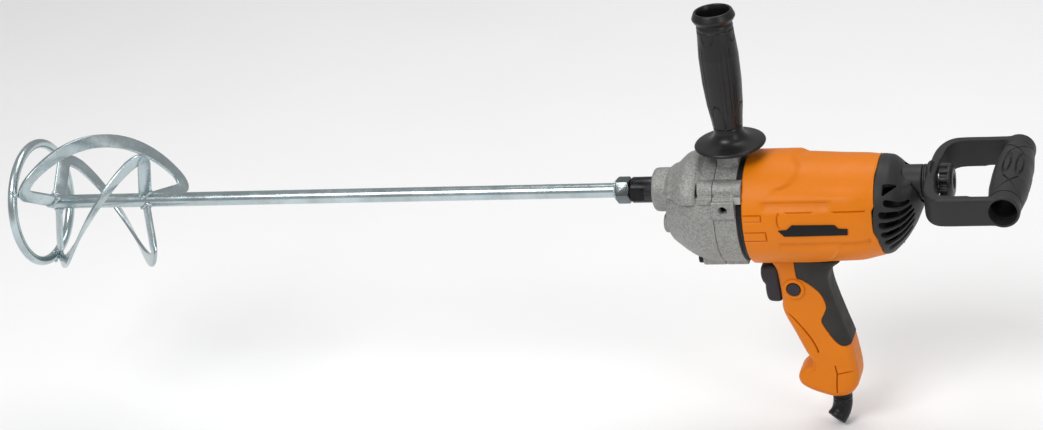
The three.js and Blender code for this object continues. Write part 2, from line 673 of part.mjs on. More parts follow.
const FRONT_EDGE = [
  [110, -62], [117.4, -72], [120, -85], [121, -99], [119.4, -108],
  [121.6, -117], [126.6, -129], [133.4, -147], [140, -162.4],
];
const TOE = [
  [131, -166], [125.4, -173], [127, -180], [137, -186],
  [148, -191], [156, -193.6], [166, -191], [173, -184.6],
];
const BACK_EDGE = [[175.6, -177], [175.8, -168], [174.8, -156], [173.4, -141]];
const RECESS = [
  [169, -141.6], [162, -137], [153.5, -122], [152.5, -116], [157.5, -103],
  [154, -92], [147, -84], [139, -78], [135, -76],
];
const BACK_UPPER = [[169.6, -123], [164.4, -104], [161, -89], [160.6, -80], [163.4, -73], [174, -66]];
const RECESS_GAP = 0.4;
// Core of the shells that the overmould wraps: it stays this far inside the skin.
const CORE = [
  [130, -60], [169, -60], [157.6, -75], [157.2, -89], [160.8, -104], [166.2, -123], [169.6, -136],
  [160, -132],
  [148, -116], [150, -100], [140, -84], [130, -78],
];
const CORE_HALF_WIDTH = 14;

// Body under the motor housing that the grip's saddle fits.
const housingSpace = () => rodX(90, 230, HOUSING_R + 0.4, MOTOR_Z, 0, FINE);

function gripInside(y0, y1) {
  return [
    block(100, 127.4, y0 < 0 ? -11.6 : y0, y1 > 0 ? 11.6 : y1, -103.4, -60),
    block(126, 144.4, -9.4, 9.4, -112.4, -83.6),
    block(150, 166, -5, 5, -184, -150),
    rodZ(-201, -176, BOOT_R + GAP, 159),
  ];
}

function rodZ(z0, z1, r, x) {
  return turnedZ([[z0, 0], [z0, r], [z1, r], [z1, 0]], x, 16);
}

const GRIP_SCREWS = [[129, -117], [146, -157], [138, -176]];

function buildGripShells() {
  const side = outline([...FRONT_EDGE, ...TOE, ...BACK_EDGE, ...RECESS, [135, -60]]);
  const collar = rodY(-18.4, -16, 9, LOCK_X, LOCK_Z);
  const drill = GRIP_SCREWS.map(([x, z]) => rodY(-8, 20, 1.7, x, z, 8));
  const heads = GRIP_SCREWS.map(([x, z]) => rodY(12, 20, 3.7, x, z, SMALL));
  const core = (y0, y1) => prismY(outline(CORE), y0, y1);
  const left = join(prismY(side, -GRIP_HALF_WIDTH, -GAP / 2), core(-CORE_HALF_WIDTH, -GAP / 2), collar);
  const lockHole = rodY(-20, 0, LOCK_R + GAP, LOCK_X, LOCK_Z);
  add('grip_left_shell', cut(left, housingSpace(), lockHole, ...gripInside(-20, 20), ...drill), 'orange');
  const right = join(prismY(side, GAP / 2, GRIP_HALF_WIDTH), core(GAP / 2, CORE_HALF_WIDTH));
  add('grip_right_shell', cut(right, housingSpace(), ...gripInside(-20, 20), ...drill, ...heads), 'orange');
  GRIP_SCREWS.forEach(([x, z], i) => {
    const profile = [[-6, 0], [-6, 1.4], [12.3, 1.4], [12.3, 3.4], [14.6, 3.4], [15.2, 2.6], [15.2, 0]];
    const screw = turnedY(profile, x, z, 8);
    add(`grip_screw_${i + 1}`, screw, 'steel');
  });
}

function buildOvermould() {
  const recess = RECESS.map(([x, z]) => [x + RECESS_GAP, z + RECESS_GAP]);
  const back = [...BACK_UPPER].reverse();
  const side = outline([[135 + RECESS_GAP, -60], [179, -60], ...back, [173.2, -140.4], ...recess]);
  const outer = prismY(side, -GRIP_HALF_WIDTH - 0.6, GRIP_HALF_WIDTH + 0.6);
  const hollow = prismY(outline(CORE), -CORE_HALF_WIDTH - GAP, CORE_HALF_WIDTH + GAP);
  const wider = hollow.clone().translate(RECESS_GAP, 0, -RECESS_GAP);
  add('grip_overmould', cut(outer, hollow, wider, housingSpace()), 'rubber');
}

function buildSwitch() {
  const trigger = outline([
    [108.6, -68], [103.8, -70], [103, -79], [105.8, -86], [106, -97], [109, -101.6], [117.5, -102],
    [119, -98], [118, -85], [115.6, -74],
  ]);
  add('trigger', prismY(trigger, -11, 11), 'black');
  add('switch_body', block(127, 144, -9, 9, -112, -84), 'black');
  const button = [[-19.6, 0], [-19.6, LOCK_R - 1], [-18.8, LOCK_R], [-12.6, LOCK_R], [-12.6, 0]];
  add('lock_button', turnedY(button, LOCK_X, LOCK_Z, 20), 'black');
}

function buildCableEntry() {
  const path = new THREE.CatmullRomCurve3([
    new THREE.Vector3(159, 0, -180), new THREE.Vector3(159, 0, -195), new THREE.Vector3(159, -0.4, -206),
    new THREE.Vector3(157, -2.4, -213.6), new THREE.Vector3(152.4, -5, -218),
  ]);
  const section = new THREE.Shape();
  section.absarc(0, 0, BOOT_R, 0, 2 * Math.PI, false);
  section.holes.push(new THREE.Path().absarc(0, 0, CABLE_R, 0, 2 * Math.PI, true));
  const along = { steps: 8, bevelEnabled: false, curveSegments: 7, extrudePath: path };
  const boot = new THREE.ExtrudeGeometry(section, along);
  add('strain_relief_boot', boot, 'rubber');
  add('cable_clamp', block(151, 165, -4.6, 4.6, -172, -166), 'black');
}

// ---------------------------------------------------------------- side handle

function buildSideHandle() {
  const grip = turnedZ([
    [SIDE_SEAT_Z + GAP, 7], [SIDE_SEAT_Z + GAP, 15], [FLANGE_Z - 3, 20], [FLANGE_Z - 2.6, FLANGE_R - 1],
    [FLANGE_Z - 0.6, FLANGE_R], [FLANGE_Z + 0.8, FLANGE_R - 1.4], [45, 19], [49, 14], [54, 12], [64, 13],
    [77, 14.8], [97, 16.2], [120, 16.4], [138, 15.2], [146, 15], [150, 17.4], [157.4, 17.8],
    [SIDE_TOP_Z, 16.6], [SIDE_TOP_Z, SIDE_BORE_R + 1], [SIDE_TOP_Z - 2, SIDE_BORE_R],
    [100, SIDE_BORE_R - 1.5], [100, 6.3], [SIDE_SEAT_Z + GAP, 6.3], [SIDE_SEAT_Z + GAP, 7],
  ], SIDE_X, 22);
  add('side_handle_grip', grip, 'charcoal');
  const stud = turnedZ([[16, 0], [16, 5], [17, 6], [98, 6], [98, 0]], SIDE_X, SMALL);
  add('side_handle_stud', stud, 'steel');
}

// ---------------------------------------------------------------- rear D-handle

const STRAP_OUTER = [
  [250.4, 0], [250.4, 20], [250.6, 36], [251.6, 46],
  [255, 54.4], [261, 59], [268, 60], [292, 60],
];
const STRAP_INNER = [
  [292, 52], [272, 52], [265, 50], [260.6, 45],
  [259.2, 36], [258.5, 20], [258.4, 0],
];

function buildRearHandle() {
  const collar = turnedX([
    [COLLAR_X, 4.6], [COLLAR_X, NECK_R - 1], [COLLAR_X + 0.8, NECK_R], [STRAP_X - GAP, NECK_R],
    [STRAP_X - GAP, 4.6], [COLLAR_X, 4.6],
  ], REAR_Z);
  add('rear_collar', collar, 'charcoal');

  const far = REAR_GRIP_X + 2;
  const half = [...STRAP_OUTER, [far, REAR_HALF_WIDTH], [far, EYE_INNER_Y + 5], ...STRAP_INNER];
  const mirrored = half.slice(1, -1).reverse().map(([x, y]) => [x, -y]);
  const loop = outline([...half, ...mirrored]);
  const strap = prismZ(loop, REAR_Z - STRAP_HALF_HEIGHT, REAR_Z + STRAP_HALF_HEIGHT);
  const eyes = [-1, 1].map((side) => {
    const [y0, y1] = [side * EYE_INNER_Y, side * REAR_HALF_WIDTH].sort((a, b) => a - b);
    return rodY(y0, y1, REAR_GRIP_R, REAR_GRIP_X, REAR_Z);
  });
  const bore = rodY(-REAR_HALF_WIDTH - 1, REAR_HALF_WIDTH + 1, REAR_GRIP_BORE_R, REAR_GRIP_X, REAR_Z);
  const boltHole = rodX(240, 262, 4.4, REAR_Z, 0, SMALL);
  add('rear_handle_frame', cut(join(strap, ...eyes), bore, boltHole), 'charcoal');

  const y = EYE_INNER_Y - GAP;
  const sleeve = turnedY([
    [-y, REAR_GRIP_BORE_R], [-y, REAR_GRIP_R], [-22, REAR_GRIP_R + REAR_GRIP_SWELL],
    [22, REAR_GRIP_R + REAR_GRIP_SWELL], [y, REAR_GRIP_R], [y, REAR_GRIP_BORE_R], [-y, REAR_GRIP_BORE_R],
  ], REAR_GRIP_X, REAR_Z);
  add('rear_handle_grip', sleeve, 'charcoal');

  const boltProfile = [
    [237.6, 0], [237.6, 4], [258.8, 4], [258.8, 8], [260.1, 8], [260.1, 4], [266, 4], [266, 0],
  ];
  const bolt = turnedX(boltProfile, REAR_Z, SMALL);
  add('rear_handle_bolt', bolt, 'steel');
  const knob = lobed(260.4, 271, 15, 12, 2, 4 + GAP, REAR_Z);
  add('rear_handle_knob', knob, 'black');
}

// ---------------------------------------------------------------- assembly

buildPaddle();
buildSpindle();
buildCountershaft();
buildFrontCover();
buildRearCase();
buildAdapterPlate();
buildCaseScrews();
buildStator();
buildArmature();
buildBrushes();
buildMotorHousing();
buildRearCover();
buildGripShells();
buildOvermould();
buildSwitch();
buildCableEntry();
buildSideHandle();
buildRearHandle();
tool.position.copy(CENTRE_OFFSET);

export default tool;
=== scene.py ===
"""Looks of the drill paint mixer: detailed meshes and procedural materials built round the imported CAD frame.

Lengths are in millimetres in the tool's own frame: X along the spindle axis from the paddle to the rear
handle, Z up, -Y the near side, origin at the nose of the output spindle. placed() turns them into the
part's frame in metres.
"""

import json
import math
import random

import bmesh
import bpy
import numpy as np
from mathutils import Matrix, Vector


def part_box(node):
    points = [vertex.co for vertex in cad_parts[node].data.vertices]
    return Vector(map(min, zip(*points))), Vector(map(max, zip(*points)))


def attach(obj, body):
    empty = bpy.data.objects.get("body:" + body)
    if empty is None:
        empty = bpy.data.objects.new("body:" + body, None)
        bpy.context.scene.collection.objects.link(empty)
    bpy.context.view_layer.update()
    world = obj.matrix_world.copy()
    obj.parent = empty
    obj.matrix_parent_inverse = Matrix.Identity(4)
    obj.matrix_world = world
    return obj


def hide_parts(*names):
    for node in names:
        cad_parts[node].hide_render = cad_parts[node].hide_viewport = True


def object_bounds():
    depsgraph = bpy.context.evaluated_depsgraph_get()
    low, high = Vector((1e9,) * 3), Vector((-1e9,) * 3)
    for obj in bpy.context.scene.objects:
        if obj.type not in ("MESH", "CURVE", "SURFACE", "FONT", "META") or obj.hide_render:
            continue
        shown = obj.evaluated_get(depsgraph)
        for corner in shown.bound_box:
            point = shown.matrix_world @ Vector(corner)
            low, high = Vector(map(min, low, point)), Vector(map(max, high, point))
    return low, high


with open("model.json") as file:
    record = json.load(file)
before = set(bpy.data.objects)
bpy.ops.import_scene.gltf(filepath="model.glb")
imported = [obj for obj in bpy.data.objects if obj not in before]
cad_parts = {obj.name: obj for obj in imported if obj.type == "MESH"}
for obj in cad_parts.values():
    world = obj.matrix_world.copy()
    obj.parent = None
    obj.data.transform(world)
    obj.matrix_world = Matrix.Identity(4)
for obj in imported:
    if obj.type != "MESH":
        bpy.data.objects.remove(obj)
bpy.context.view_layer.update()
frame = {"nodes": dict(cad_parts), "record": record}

MM = 0.001
spindle_low, spindle_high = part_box("output_spindle")
NOSE = np.array([spindle_low.x, 0.0, (spindle_low.z + spindle_high.z) / 2])

MOTOR_Z = -17.0
COUNTER_Z = -35.0
REAR_Z = 2.0
SPLIT_X = 79.6
CASE_REAR_X = 98.0
CASE_R = 46.0
SCREW_ANGLES = [math.radians(a) for a in (26, 132, -132, -26)]
SCREW_RADIUS = 42.5
SIDE_X = 90.0
CASE_INNER_R = 42.5
LOWER_LUG_R = 6
SCREW_POST_R = 7.6
SCREW_HOLE_R = 2.7
PAD_Y = 47.5
REAR_BOLT_BORE_R = 4.4

scene = bpy.context.scene
chance = random.Random(7)


def placed(points):
    """Tool millimetres to part metres."""
    return np.asarray(points, float) * MM + NOSE


def unit(v):
    return v / np.linalg.norm(v)


def full_turn(count):
    return np.linspace(0, 2 * math.pi, count, endpoint=False)


def wrapped(angle):
    """The same angle between -pi and pi."""
    return np.mod(angle + math.pi, 2 * math.pi) - math.pi


def directions(path):
    tangents = np.gradient(path, axis=0)
    return tangents / np.linalg.norm(tangents, axis=1)[:, None]


def travelled(path):
    """The length along the path at each of its points."""
    return np.concatenate([[0], np.cumsum(np.linalg.norm(np.diff(path, axis=0), axis=1))])


# ---------------------------------------------------------------- meshes


def linked(name, mesh):
    """A new object in the scene that holds the mesh."""
    obj = bpy.data.objects.new(name, mesh)
    scene.collection.objects.link(obj)
    return obj


def from_bmesh(bm):
    mesh = bpy.data.meshes.new("piece")
    bm.to_mesh(mesh)
    bm.free()
    return linked("piece", mesh)


def raw(points, faces):
    """A mesh on points in tool millimetres, with its faces turned outwards."""
    mesh = bpy.data.meshes.new("piece")
    mesh.from_pydata([tuple(p) for p in placed(points)], [], [tuple(int(i) for i in f) for f in faces])
    bm = bmesh.new()
    bm.from_mesh(mesh)
    bmesh.ops.recalc_face_normals(bm, faces=bm.faces)
    bm.to_mesh(mesh)
    bm.free()
    return linked("piece", mesh)


def settle(obj):
    """Applies every modifier."""
    graph = bpy.context.evaluated_depsgraph_get()
    graph.update()
    mesh = bpy.data.meshes.new_from_object(obj.evaluated_get(graph))
    obj.modifiers.clear()
    old = obj.data
    obj.data = mesh
    bpy.data.meshes.remove(old)
    return obj


def drop(obj):
    mesh = obj.data
    bpy.data.objects.remove(obj)
    bpy.data.meshes.remove(mesh)


def boolean(obj, others, operation):
    for other in others:
        modifier = obj.modifiers.new("cut", "BOOLEAN")
        modifier.operation = operation
        modifier.solver = "MANIFOLD"
        modifier.object = other
        settle(obj)
        drop(other)
    return obj


def united(obj, *others):
    return boolean(obj, others, "UNION")


def cut(obj, *others):
    return boolean(obj, others, "DIFFERENCE")


def common(obj, *others):
    return boolean(obj, others, "INTERSECT")


def remeshed(obj, voxel, rounds=2):
    """Fuses what overlaps and softens every edge to about the voxel's size."""
    modifier = obj.modifiers.new("fuse", "REMESH")
    modifier.mode = "VOXEL"
    modifier.voxel_size = voxel * MM
    if rounds:
        smooth = obj.modifiers.new("soften", "SMOOTH")
        smooth.factor = 0.5
        smooth.iterations = rounds
    return settle(obj)


def bevelled(obj, width, angle=35):
    modifier = obj.modifiers.new("edge", "BEVEL")
    modifier.width = width * MM
    modifier.segments = 2
    modifier.limit_method = "ANGLE"
    modifier.angle_limit = math.radians(angle)
    modifier.use_clamp_overlap = True
    return settle(obj)


def joined(objects):
    """One mesh holding all of them, not fused."""
    bm = bmesh.new()
    for obj in objects:
        bm.from_mesh(obj.data)
    for obj in objects:
        drop(obj)
    return from_bmesh(bm)


FILLET_STEPS = 5


def softened(path):
    """A polyline of (a, b) or (a, b, fillet) with its filleted corners turned into short curves."""
    result = []
    last = len(path) - 1
    for i, point in enumerate(path):
        fillet = point[2] if len(point) > 2 else 0.0
        here = np.array(point[:2], float)
        if not fillet or i in (0, last):
            result.append(here)
            continue
        before = np.array(path[i - 1][:2], float) - here
        after = np.array(path[i + 1][:2], float) - here
        reach = min(fillet, 0.48 * np.linalg.norm(before), 0.48 * np.linalg.norm(after))
        start = here + before / np.linalg.norm(before) * reach
        end = here + after / np.linalg.norm(after) * reach
        for k in range(FILLET_STEPS + 1):
            t = k / FILLET_STEPS
            result.append((1 - t) ** 2 * start + 2 * t * (1 - t) * here + t * t * end)
    return np.array(result)


def about_x(z=0.0, y=0.0):
    return lambda a, r, t: np.stack([a + 0 * t, y - r * np.sin(t), z + r * np.cos(t)], -1)


def about_y(x, z):
    return lambda a, r, t: np.stack([x + r * np.sin(t), a + 0 * t, z + r * np.cos(t)], -1)


def about_z(x):
    return lambda a, r, t: np.stack([x + r * np.cos(t), r * np.sin(t), a + 0 * t], -1)


def grid_faces(rows, columns, closed_rows):
    faces = []
    for i in range(rows if closed_rows else rows - 1):
        low, high = i * columns, ((i + 1) % rows) * columns
        for j in range(columns):
            k = (j + 1) % columns
            faces.append((low + j, low + k, high + k, high + j))
    return faces


def capped_faces(rows, columns):
    """A tube through the rows, closed at both ends."""
    last = (rows - 1) * columns
    return grid_faces(rows, columns, False) + [tuple(range(columns)), tuple(range(last, last + columns))]


def triangulated(obj):
    obj.modifiers.new("triangles", "TRIANGULATE")
    return settle(obj)


def anticlockwise(outline):
    """The outline in the order that inset() expects."""
    ahead = np.roll(outline, -1, 0)
    area = np.sum(outline[:, 0] * ahead[:, 1] - ahead[:, 0] * outline[:, 1])
    return outline if area > 0 else outline[::-1]


def hexagon(radius, across=0.0, up=0.0):
    return [(across + radius * math.cos(a), up + radius * math.sin(a)) for a in np.arange(6) * math.pi / 3]


def lathe(profile, place, segments=96, relief=None):
    """A closed turned body on (along, radius[, fillet]) points.

    The profile ends on the axis at both ends or closes on itself. relief(along, angle, radius) adds to it.
    """
    path = softened(profile)
    polar = path[0][1] == 0
    ring = path[1:-1] if polar else path[:-1]
    angles = full_turn(segments)
    a = ring[:, 0][:, None]
    r = ring[:, 1][:, None]
    t = angles[None, :]
    if relief is not None:
        r = r + relief(a + 0 * t, t + 0 * a, r + 0 * t)
    points = place(a + 0 * t, r + 0 * t, t + 0 * a).reshape(-1, 3)
    faces = grid_faces(len(ring), segments, not polar)
    if polar:
        zero = np.zeros(1)
        ends = [place(np.array([path[0][0]]), zero, zero)[0], place(np.array([path[-1][0]]), zero, zero)[0]]
        first = len(points)
        points = np.vstack([points, ends])
        last_row = (len(ring) - 1) * segments
        for j in range(segments):
            k = (j + 1) % segments
            faces.append((first, k, j))
            faces.append((first + 1, last_row + j, last_row + k))
    return raw(points, faces)


def rod_x(x0, x1, r, z=0.0, y=0.0, segments=48, edge=0.0):
    return lathe([(x0, 0), (x0, r, edge), (x1, r, edge), (x1, 0)], about_x(z, y), segments)


def rod_y(y0, y1, r, x, z, segments=48, edge=0.0):
    return lathe([(y0, 0), (y0, r, edge), (y1, r, edge), (y1, 0)], about_y(x, z), segments)


def rod_z(z0, z1, r, x, segments=48, edge=0.0):
    return lathe([(z0, 0), (z0, r, edge), (z1, r, edge), (z1, 0)], about_z(x), segments)


def block(x0, x1, y0, y1, z0, z1):
    points = [(x, y, z) for x in (x0, x1) for y in (y0, y1) for z in (z0, z1)]
    faces = [(0, 1, 3, 2), (4, 6, 7, 5), (0, 4, 5, 1), (2, 3, 7, 6), (0, 2, 6, 4), (1, 5, 7, 3)]
    return raw(points, faces)


def spline(points, count, closed=True):
    """Catmull-Rom curve through the points, evenly sampled."""
    p = np.array(points, float)
    n = len(p)
    dense = []
    for i in range(n if closed else n - 1):
        if closed:
            p0, p1, p2, p3 = p[i - 1], p[i], p[(i + 1) % n], p[(i + 2) % n]
        else:
            p0, p1, p2, p3 = p[max(i - 1, 0)], p[i], p[i + 1], p[min(i + 2, n - 1)]
        for k in range(16):
            t = k / 16
            dense.append(
                0.5 * (
                    2 * p1 + (p2 - p0) * t + (2 * p0 - 5 * p1 + 4 * p2 - p3) * t**2
                    + (3 * p1 - p0 - 3 * p2 + p3) * t**3
                )
            )
    dense.append(p[0] if closed else p[-1])
    dense = np.array(dense)
    length = travelled(dense)
    at = np.linspace(0, length[-1], count + 1 if closed else count)
    result = np.stack([np.interp(at, length, dense[:, i]) for i in range(p.shape[1])], -1)
    return result[:-1] if closed else result


def prism(outline, low, high, axis="y"):
    """A closed prism on a 2D outline: (X, Z) along y, (X, Y) along z, (Y, Z) along x."""
    outline = np.asarray(outline, float)
    n = len(outline)
    order = {
        "y": lambda a, b, c: (a, c, b), "z": lambda a, b, c: (a, b, c), "x": lambda a, b, c: (c, a, b),
    }[axis]
    points = [order(a, b, c) for c in (low, high) for a, b in outline]
    faces = [tuple(range(n)), tuple(range(2 * n - 1, n - 1, -1))]
    faces += [(i, (i + 1) % n, n + (i + 1) % n, n + i) for i in range(n)]
    return triangulated(raw(points, faces))


def inset(outline, distance):
    """The outline moved inwards along its own normals. It runs anticlockwise."""
    p = np.asarray(outline, float)
    ahead = np.roll(p, -1, 0) - np.roll(p, 1, 0)
    ahead /= np.linalg.norm(ahead, axis=1)[:, None]
    inward = np.stack([-ahead[:, 1], ahead[:, 0]], -1)
    return p + inward * distance


def rounded_rim(half, edge, steps):
    """(height, depth) steps over a slab whose two rims are rounded off."""
    rings = []
    for k in range(-steps, steps + 1):
        turn = abs(k) / steps * math.pi / 2
        height = math.copysign(half - edge * (1 - math.sin(turn)), k) if k else 0.0
        rings.append((height, edge * (1 - math.cos(turn))))
    return rings


def pillow(outline, half, edge, steps):
    """A slab on an anticlockwise (X, Z) outline with rounded rims, centred on the mid-plane."""
    return loft(
        [np.insert(inset(outline, depth), 1, y, axis=1) for y, depth in rounded_rim(half, edge, steps)]
    )


def swept(path, section, normals):
    """A closed body of the (across, up) section along the path. normals give the section's up side."""
    path = np.asarray(path, float)
    rows = []
    for p, t, n in zip(path, directions(path), normals):
        across = unit(np.cross(n, t))
        up = np.cross(t, across)
        rows.append(p + np.outer(section[:, 0], across) + np.outer(section[:, 1], up))
    return raw(np.vstack(rows), capped_faces(len(path), len(section)))


def loft(rows):
    """A closed body through rings of points, triangulated."""
    return triangulated(raw(np.vstack(rows), capped_faces(len(rows), len(rows[0]))))


CORNER_STEPS = 4


def slab_section(width, height, corner):
    """The outline of a flat bar with rounded corners."""
    points = []
    for sx, sy, start in ((1, 1, 0), (-1, 1, 90), (-1, -1, 180), (1, -1, 270)):
        for k in range(CORNER_STEPS + 1):
            t = math.radians(start + 90 * k / CORNER_STEPS)
            cx, cy = sx * (width / 2 - corner), sy * (height / 2 - corner)
            points.append((cx + corner * math.cos(t), cy + corner * math.sin(t)))
    return np.array(points)


def smoothstep(value, low, high):
    t = np.clip((value - low) / (high - low), 0, 1)
    return t * t * (3 - 2 * t)


def band(value, *edges):
    """Rises from 0 to 1 between the first two edges and falls back between the last two."""
    return smoothstep(value, *edges[:2]) * (1 - smoothstep(value, *edges[2:]))


def ditch(distance, width):
    """1 in the middle of a groove and 0 outside it."""
    return 1 - smoothstep(np.abs(distance), 0.25 * width, 0.75 * width)


def show(obj, name, nodes, slot, look=None, body="tool_body", sharp=38):
    """Names a piece, gives it its finish, sets it on its body and lets it stand for the CAD nodes."""
    obj.name = name
    obj.data.name = name
    obj.data.materials.clear()
    obj.data.materials.append(LOOKS[look or slot])
    obj.data.shade_smooth()
    obj.data.set_sharp_from_angle(angle=math.radians(sharp))
    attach(obj, body)
    if nodes:
        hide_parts(*nodes)


# ---------------------------------------------------------------- materials


class Finish:
    """A procedural material in the making: a Principled shader fed by textures in the part's own space."""

    def __init__(self, name, roughness, metallic=0.0, **fixed):
        self.material = bpy.data.materials.new(name)
        self.material.use_nodes = True
        self.tree = self.material.node_tree
        self.tree.nodes.clear()
        self.shader = self.node("ShaderNodeBsdfPrincipled")
        output = self.node("ShaderNodeOutputMaterial")
        self.link(self.shader.outputs["BSDF"], output.inputs["Surface"])
        self.shader.inputs["Metallic"].default_value = metallic
        self.shader.inputs["Roughness"].default_value = roughness
        for socket, value in fixed.items():
            self.shader.inputs[socket.replace("_", " ")].default_value = value
        self.place = self.node("ShaderNodeTexCoord").outputs["Object"]
        self.normal = None

    def node(self, kind, **settings):
        made = self.tree.nodes.new(kind)
        for key, value in settings.items():
            setattr(made, key, value)
        return made

    def link(self, source, target):
        self.tree.links.new(source, target)

    def stretched(self, scale):
        mapping = self.node("ShaderNodeMapping")
        mapping.inputs["Scale"].default_value = scale
        self.link(self.place, mapping.inputs["Vector"])
        return mapping.outputs["Vector"]

    def noise(self, scale, detail=4.0, roughness=0.55, stretch=None):
        made = self.node("ShaderNodeTexNoise")
        made.inputs["Scale"].default_value = scale
        made.inputs["Detail"].default_value = detail
        made.inputs["Roughness"].default_value = roughness
        self.link(self.stretched(stretch) if stretch else self.place, made.inputs["Vector"])
        return made.outputs["Fac"]

    def cells(self, scale):
        made = self.node("ShaderNodeTexVoronoi")
        made.inputs["Scale"].default_value = scale
        self.link(self.place, made.inputs["Vector"])
        return made.outputs["Distance"]

    def ramp(self, source, *stops):
        made = self.node("ShaderNodeValToRGB")
        elements = made.color_ramp.elements
        while len(elements) < len(stops):
            elements.new(0.5)
        for element, (position, colour) in zip(elements, stops):
            element.position = position
            element.color = (*colour, 1.0) if hasattr(colour, "__len__") else (colour, colour, colour, 1.0)
        self.link(source, made.inputs["Fac"])
        return made.outputs["Color"]

    def mixed(self, factor, first, second, blend="MIX"):
        made = self.node("ShaderNodeMix", data_type="RGBA", blend_type=blend)
        for index, value in ((6, first), (7, second)):
            if hasattr(value, "__len__"):
                made.inputs[index].default_value = (*value, 1.0)
            else:
                self.link(value, made.inputs[index])
        if isinstance(factor, float):
            made.inputs[0].default_value = factor
        else:
            self.link(factor, made.inputs[0])
        return made.outputs[2]

    def edges(self, low, high):
        """1 on sharp outer edges."""
        pointiness = self.node("ShaderNodeNewGeometry").outputs["Pointiness"]
        return self.ramp(pointiness, (low, 0.0), (high, 1.0))

    def hollows(self, low, high):
        """1 in sharp inner corners and narrow grooves."""
        pointiness = self.node("ShaderNodeNewGeometry").outputs["Pointiness"]
        return self.ramp(pointiness, (low, 1.0), (high, 0.0))

    def colour(self, source):
        self.link(source, self.shader.inputs["Base Color"])

    def rough(self, source, low, high):
        made = self.node("ShaderNodeMapRange")
        made.inputs["To Min"].default_value = low
        made.inputs["To Max"].default_value = high
        made.inputs["From Min"].default_value = 0.3
        made.inputs["From Max"].default_value = 0.7
        self.link(source, made.inputs["Value"])
        self.link(made.outputs["Result"], self.shader.inputs["Roughness"])

    def bump(self, height, strength, depth):
        made = self.node("ShaderNodeBump")
        made.inputs["Strength"].default_value = strength
        made.inputs["Distance"].default_value = depth * MM
        self.link(height, made.inputs["Height"])
        if self.normal is not None:
            self.link(self.normal, made.inputs["Normal"])
        self.normal = made.outputs["Normal"]
        self.link(self.normal, self.shader.inputs["Normal"])


def shade(colour, factor):
    return tuple(min(1.0, c * factor) for c in colour)


def plastic(name, colour, roughness, grain, depth, specular):
    """Moulded plastic: spark-eroded grain, faint flow marks, paler rubbed edges and painted shade darkening
    its hollows.
    """
    f = Finish(name, roughness, Specular_IOR_Level=specular)
    flow = f.noise(14.0, 5.0, 0.6)
    base = f.mixed(f.ramp(flow, (0.35, 0.0), (0.7, 1.0)), shade(colour, 0.92), shade(colour, 1.05))
    speck = f.noise(2600.0, 2.0, 0.5)
    base = f.mixed(f.ramp(speck, (0.4, 0.0), (0.75, 0.5)), base, shade(colour, 1.16))
    base = f.mixed(f.edges(0.55, 0.68), base, shade(colour, 1.15))
    # painted shade: grooves and sharp inner corners darkened to 0.3 of the colour
    base = f.mixed(f.hollows(0.40, 0.478), base, shade(colour, 0.3))
    f.colour(base)
    f.rough(f.noise(55.0, 6.0, 0.65), roughness - 0.06, roughness + 0.08)
    f.bump(f.noise(grain, 3.0, 0.6), 0.55, depth)
    f.bump(f.noise(120.0, 3.0, 0.5), 0.2, 0.12)
    return f.material


def cast_metal(name, colour):
    """Sand-cast aluminium under silver paint: coarse granular skin, bright specks, darker blotches."""
    f = Finish(name, 0.5, 0.35)
    grain = f.noise(460.0, 5.0, 0.75)
    cells = f.cells(560.0)
    base = f.mixed(f.ramp(grain, (0.36, 0.0), (0.62, 1.0)), shade(colour, 0.66), shade(colour, 1.2))
    base = f.mixed(f.ramp(cells, (0.0, 0.75), (0.34, 0.0)), base, shade(colour, 1.9))
    base = f.mixed(f.ramp(f.noise(22.0, 4.0, 0.6), (0.4, 0.0), (0.7, 0.55)), base, shade(colour, 0.82))
    base = f.mixed(f.edges(0.52, 0.6), base, shade(colour, 1.5))
    f.colour(base)
    f.rough(f.noise(300.0, 5.0, 0.7), 0.4, 0.62)
    f.bump(cells, 0.7, 0.45)
    f.bump(grain, 0.75, 0.4)
    return f.material


def zinc(name, colour, lump_strength, lump_depth):
    """Bright zinc plating with a bluish cast, drawing lines along the metal and cloudy dull patches."""
    f = Finish(name, 0.2, 1.0)
    cloud = f.noise(38.0, 5.0, 0.6)
    base = f.mixed(f.ramp(cloud, (0.35, 0.0), (0.68, 1.0)), shade(colour, 0.8), shade(colour, 1.08))
    base = f.mixed(
        f.ramp(f.noise(90.0, 4.0, 0.6), (0.5, 0.0), (0.75, 0.6)), base,
        (colour[0] * 0.82, colour[1] * 0.97, colour[2] * 1.04),
    )
    f.colour(base)
    f.rough(f.noise(70.0, 6.0, 0.7), 0.13, 0.34)
    f.bump(f.noise(240.0, 4.0, 0.6, stretch=(0.12, 1.0, 1.0)), 0.22, 0.06)
    f.bump(f.noise(420.0, 4.0, 0.6), lump_strength, lump_depth)
    return f.material


def steel(name, colour, roughness):
    """Turned or ground steel: fine tool lines, faint stains."""
    f = Finish(name, roughness, 1.0)
    stain = f.noise(45.0, 5.0, 0.6)
    f.colour(f.mixed(f.ramp(stain, (0.4, 0.0), (0.7, 1.0)), shade(colour, 0.85), colour))
    f.rough(f.noise(160.0, 4.0, 0.6), roughness - 0.07, roughness + 0.1)
    f.bump(f.noise(1500.0, 2.0, 0.5, stretch=(1.0, 1.0, 0.06)), 0.25, 0.03)
    return f.material


def rubbed_black(name):
    """Black oxide steel with a thin oil film, rubbed grey along its edges."""
    f = Finish(name, 0.32, 0.85)
    base = f.mixed(
        f.ramp(f.noise(60.0, 5.0, 0.65), (0.4, 0.0), (0.72, 1.0)), (0.012, 0.012, 0.013),
        (0.03, 0.03, 0.033),
    )
    f.colour(f.mixed(f.edges(0.53, 0.6), base, (0.16, 0.16, 0.17)))
    f.rough(f.noise(210.0, 5.0, 0.6), 0.24, 0.42)
    f.bump(f.noise(1700.0, 2.0, 0.5, stretch=(0.5, 1.0, 1.0)), 0.3, 0.03)
    return f.material


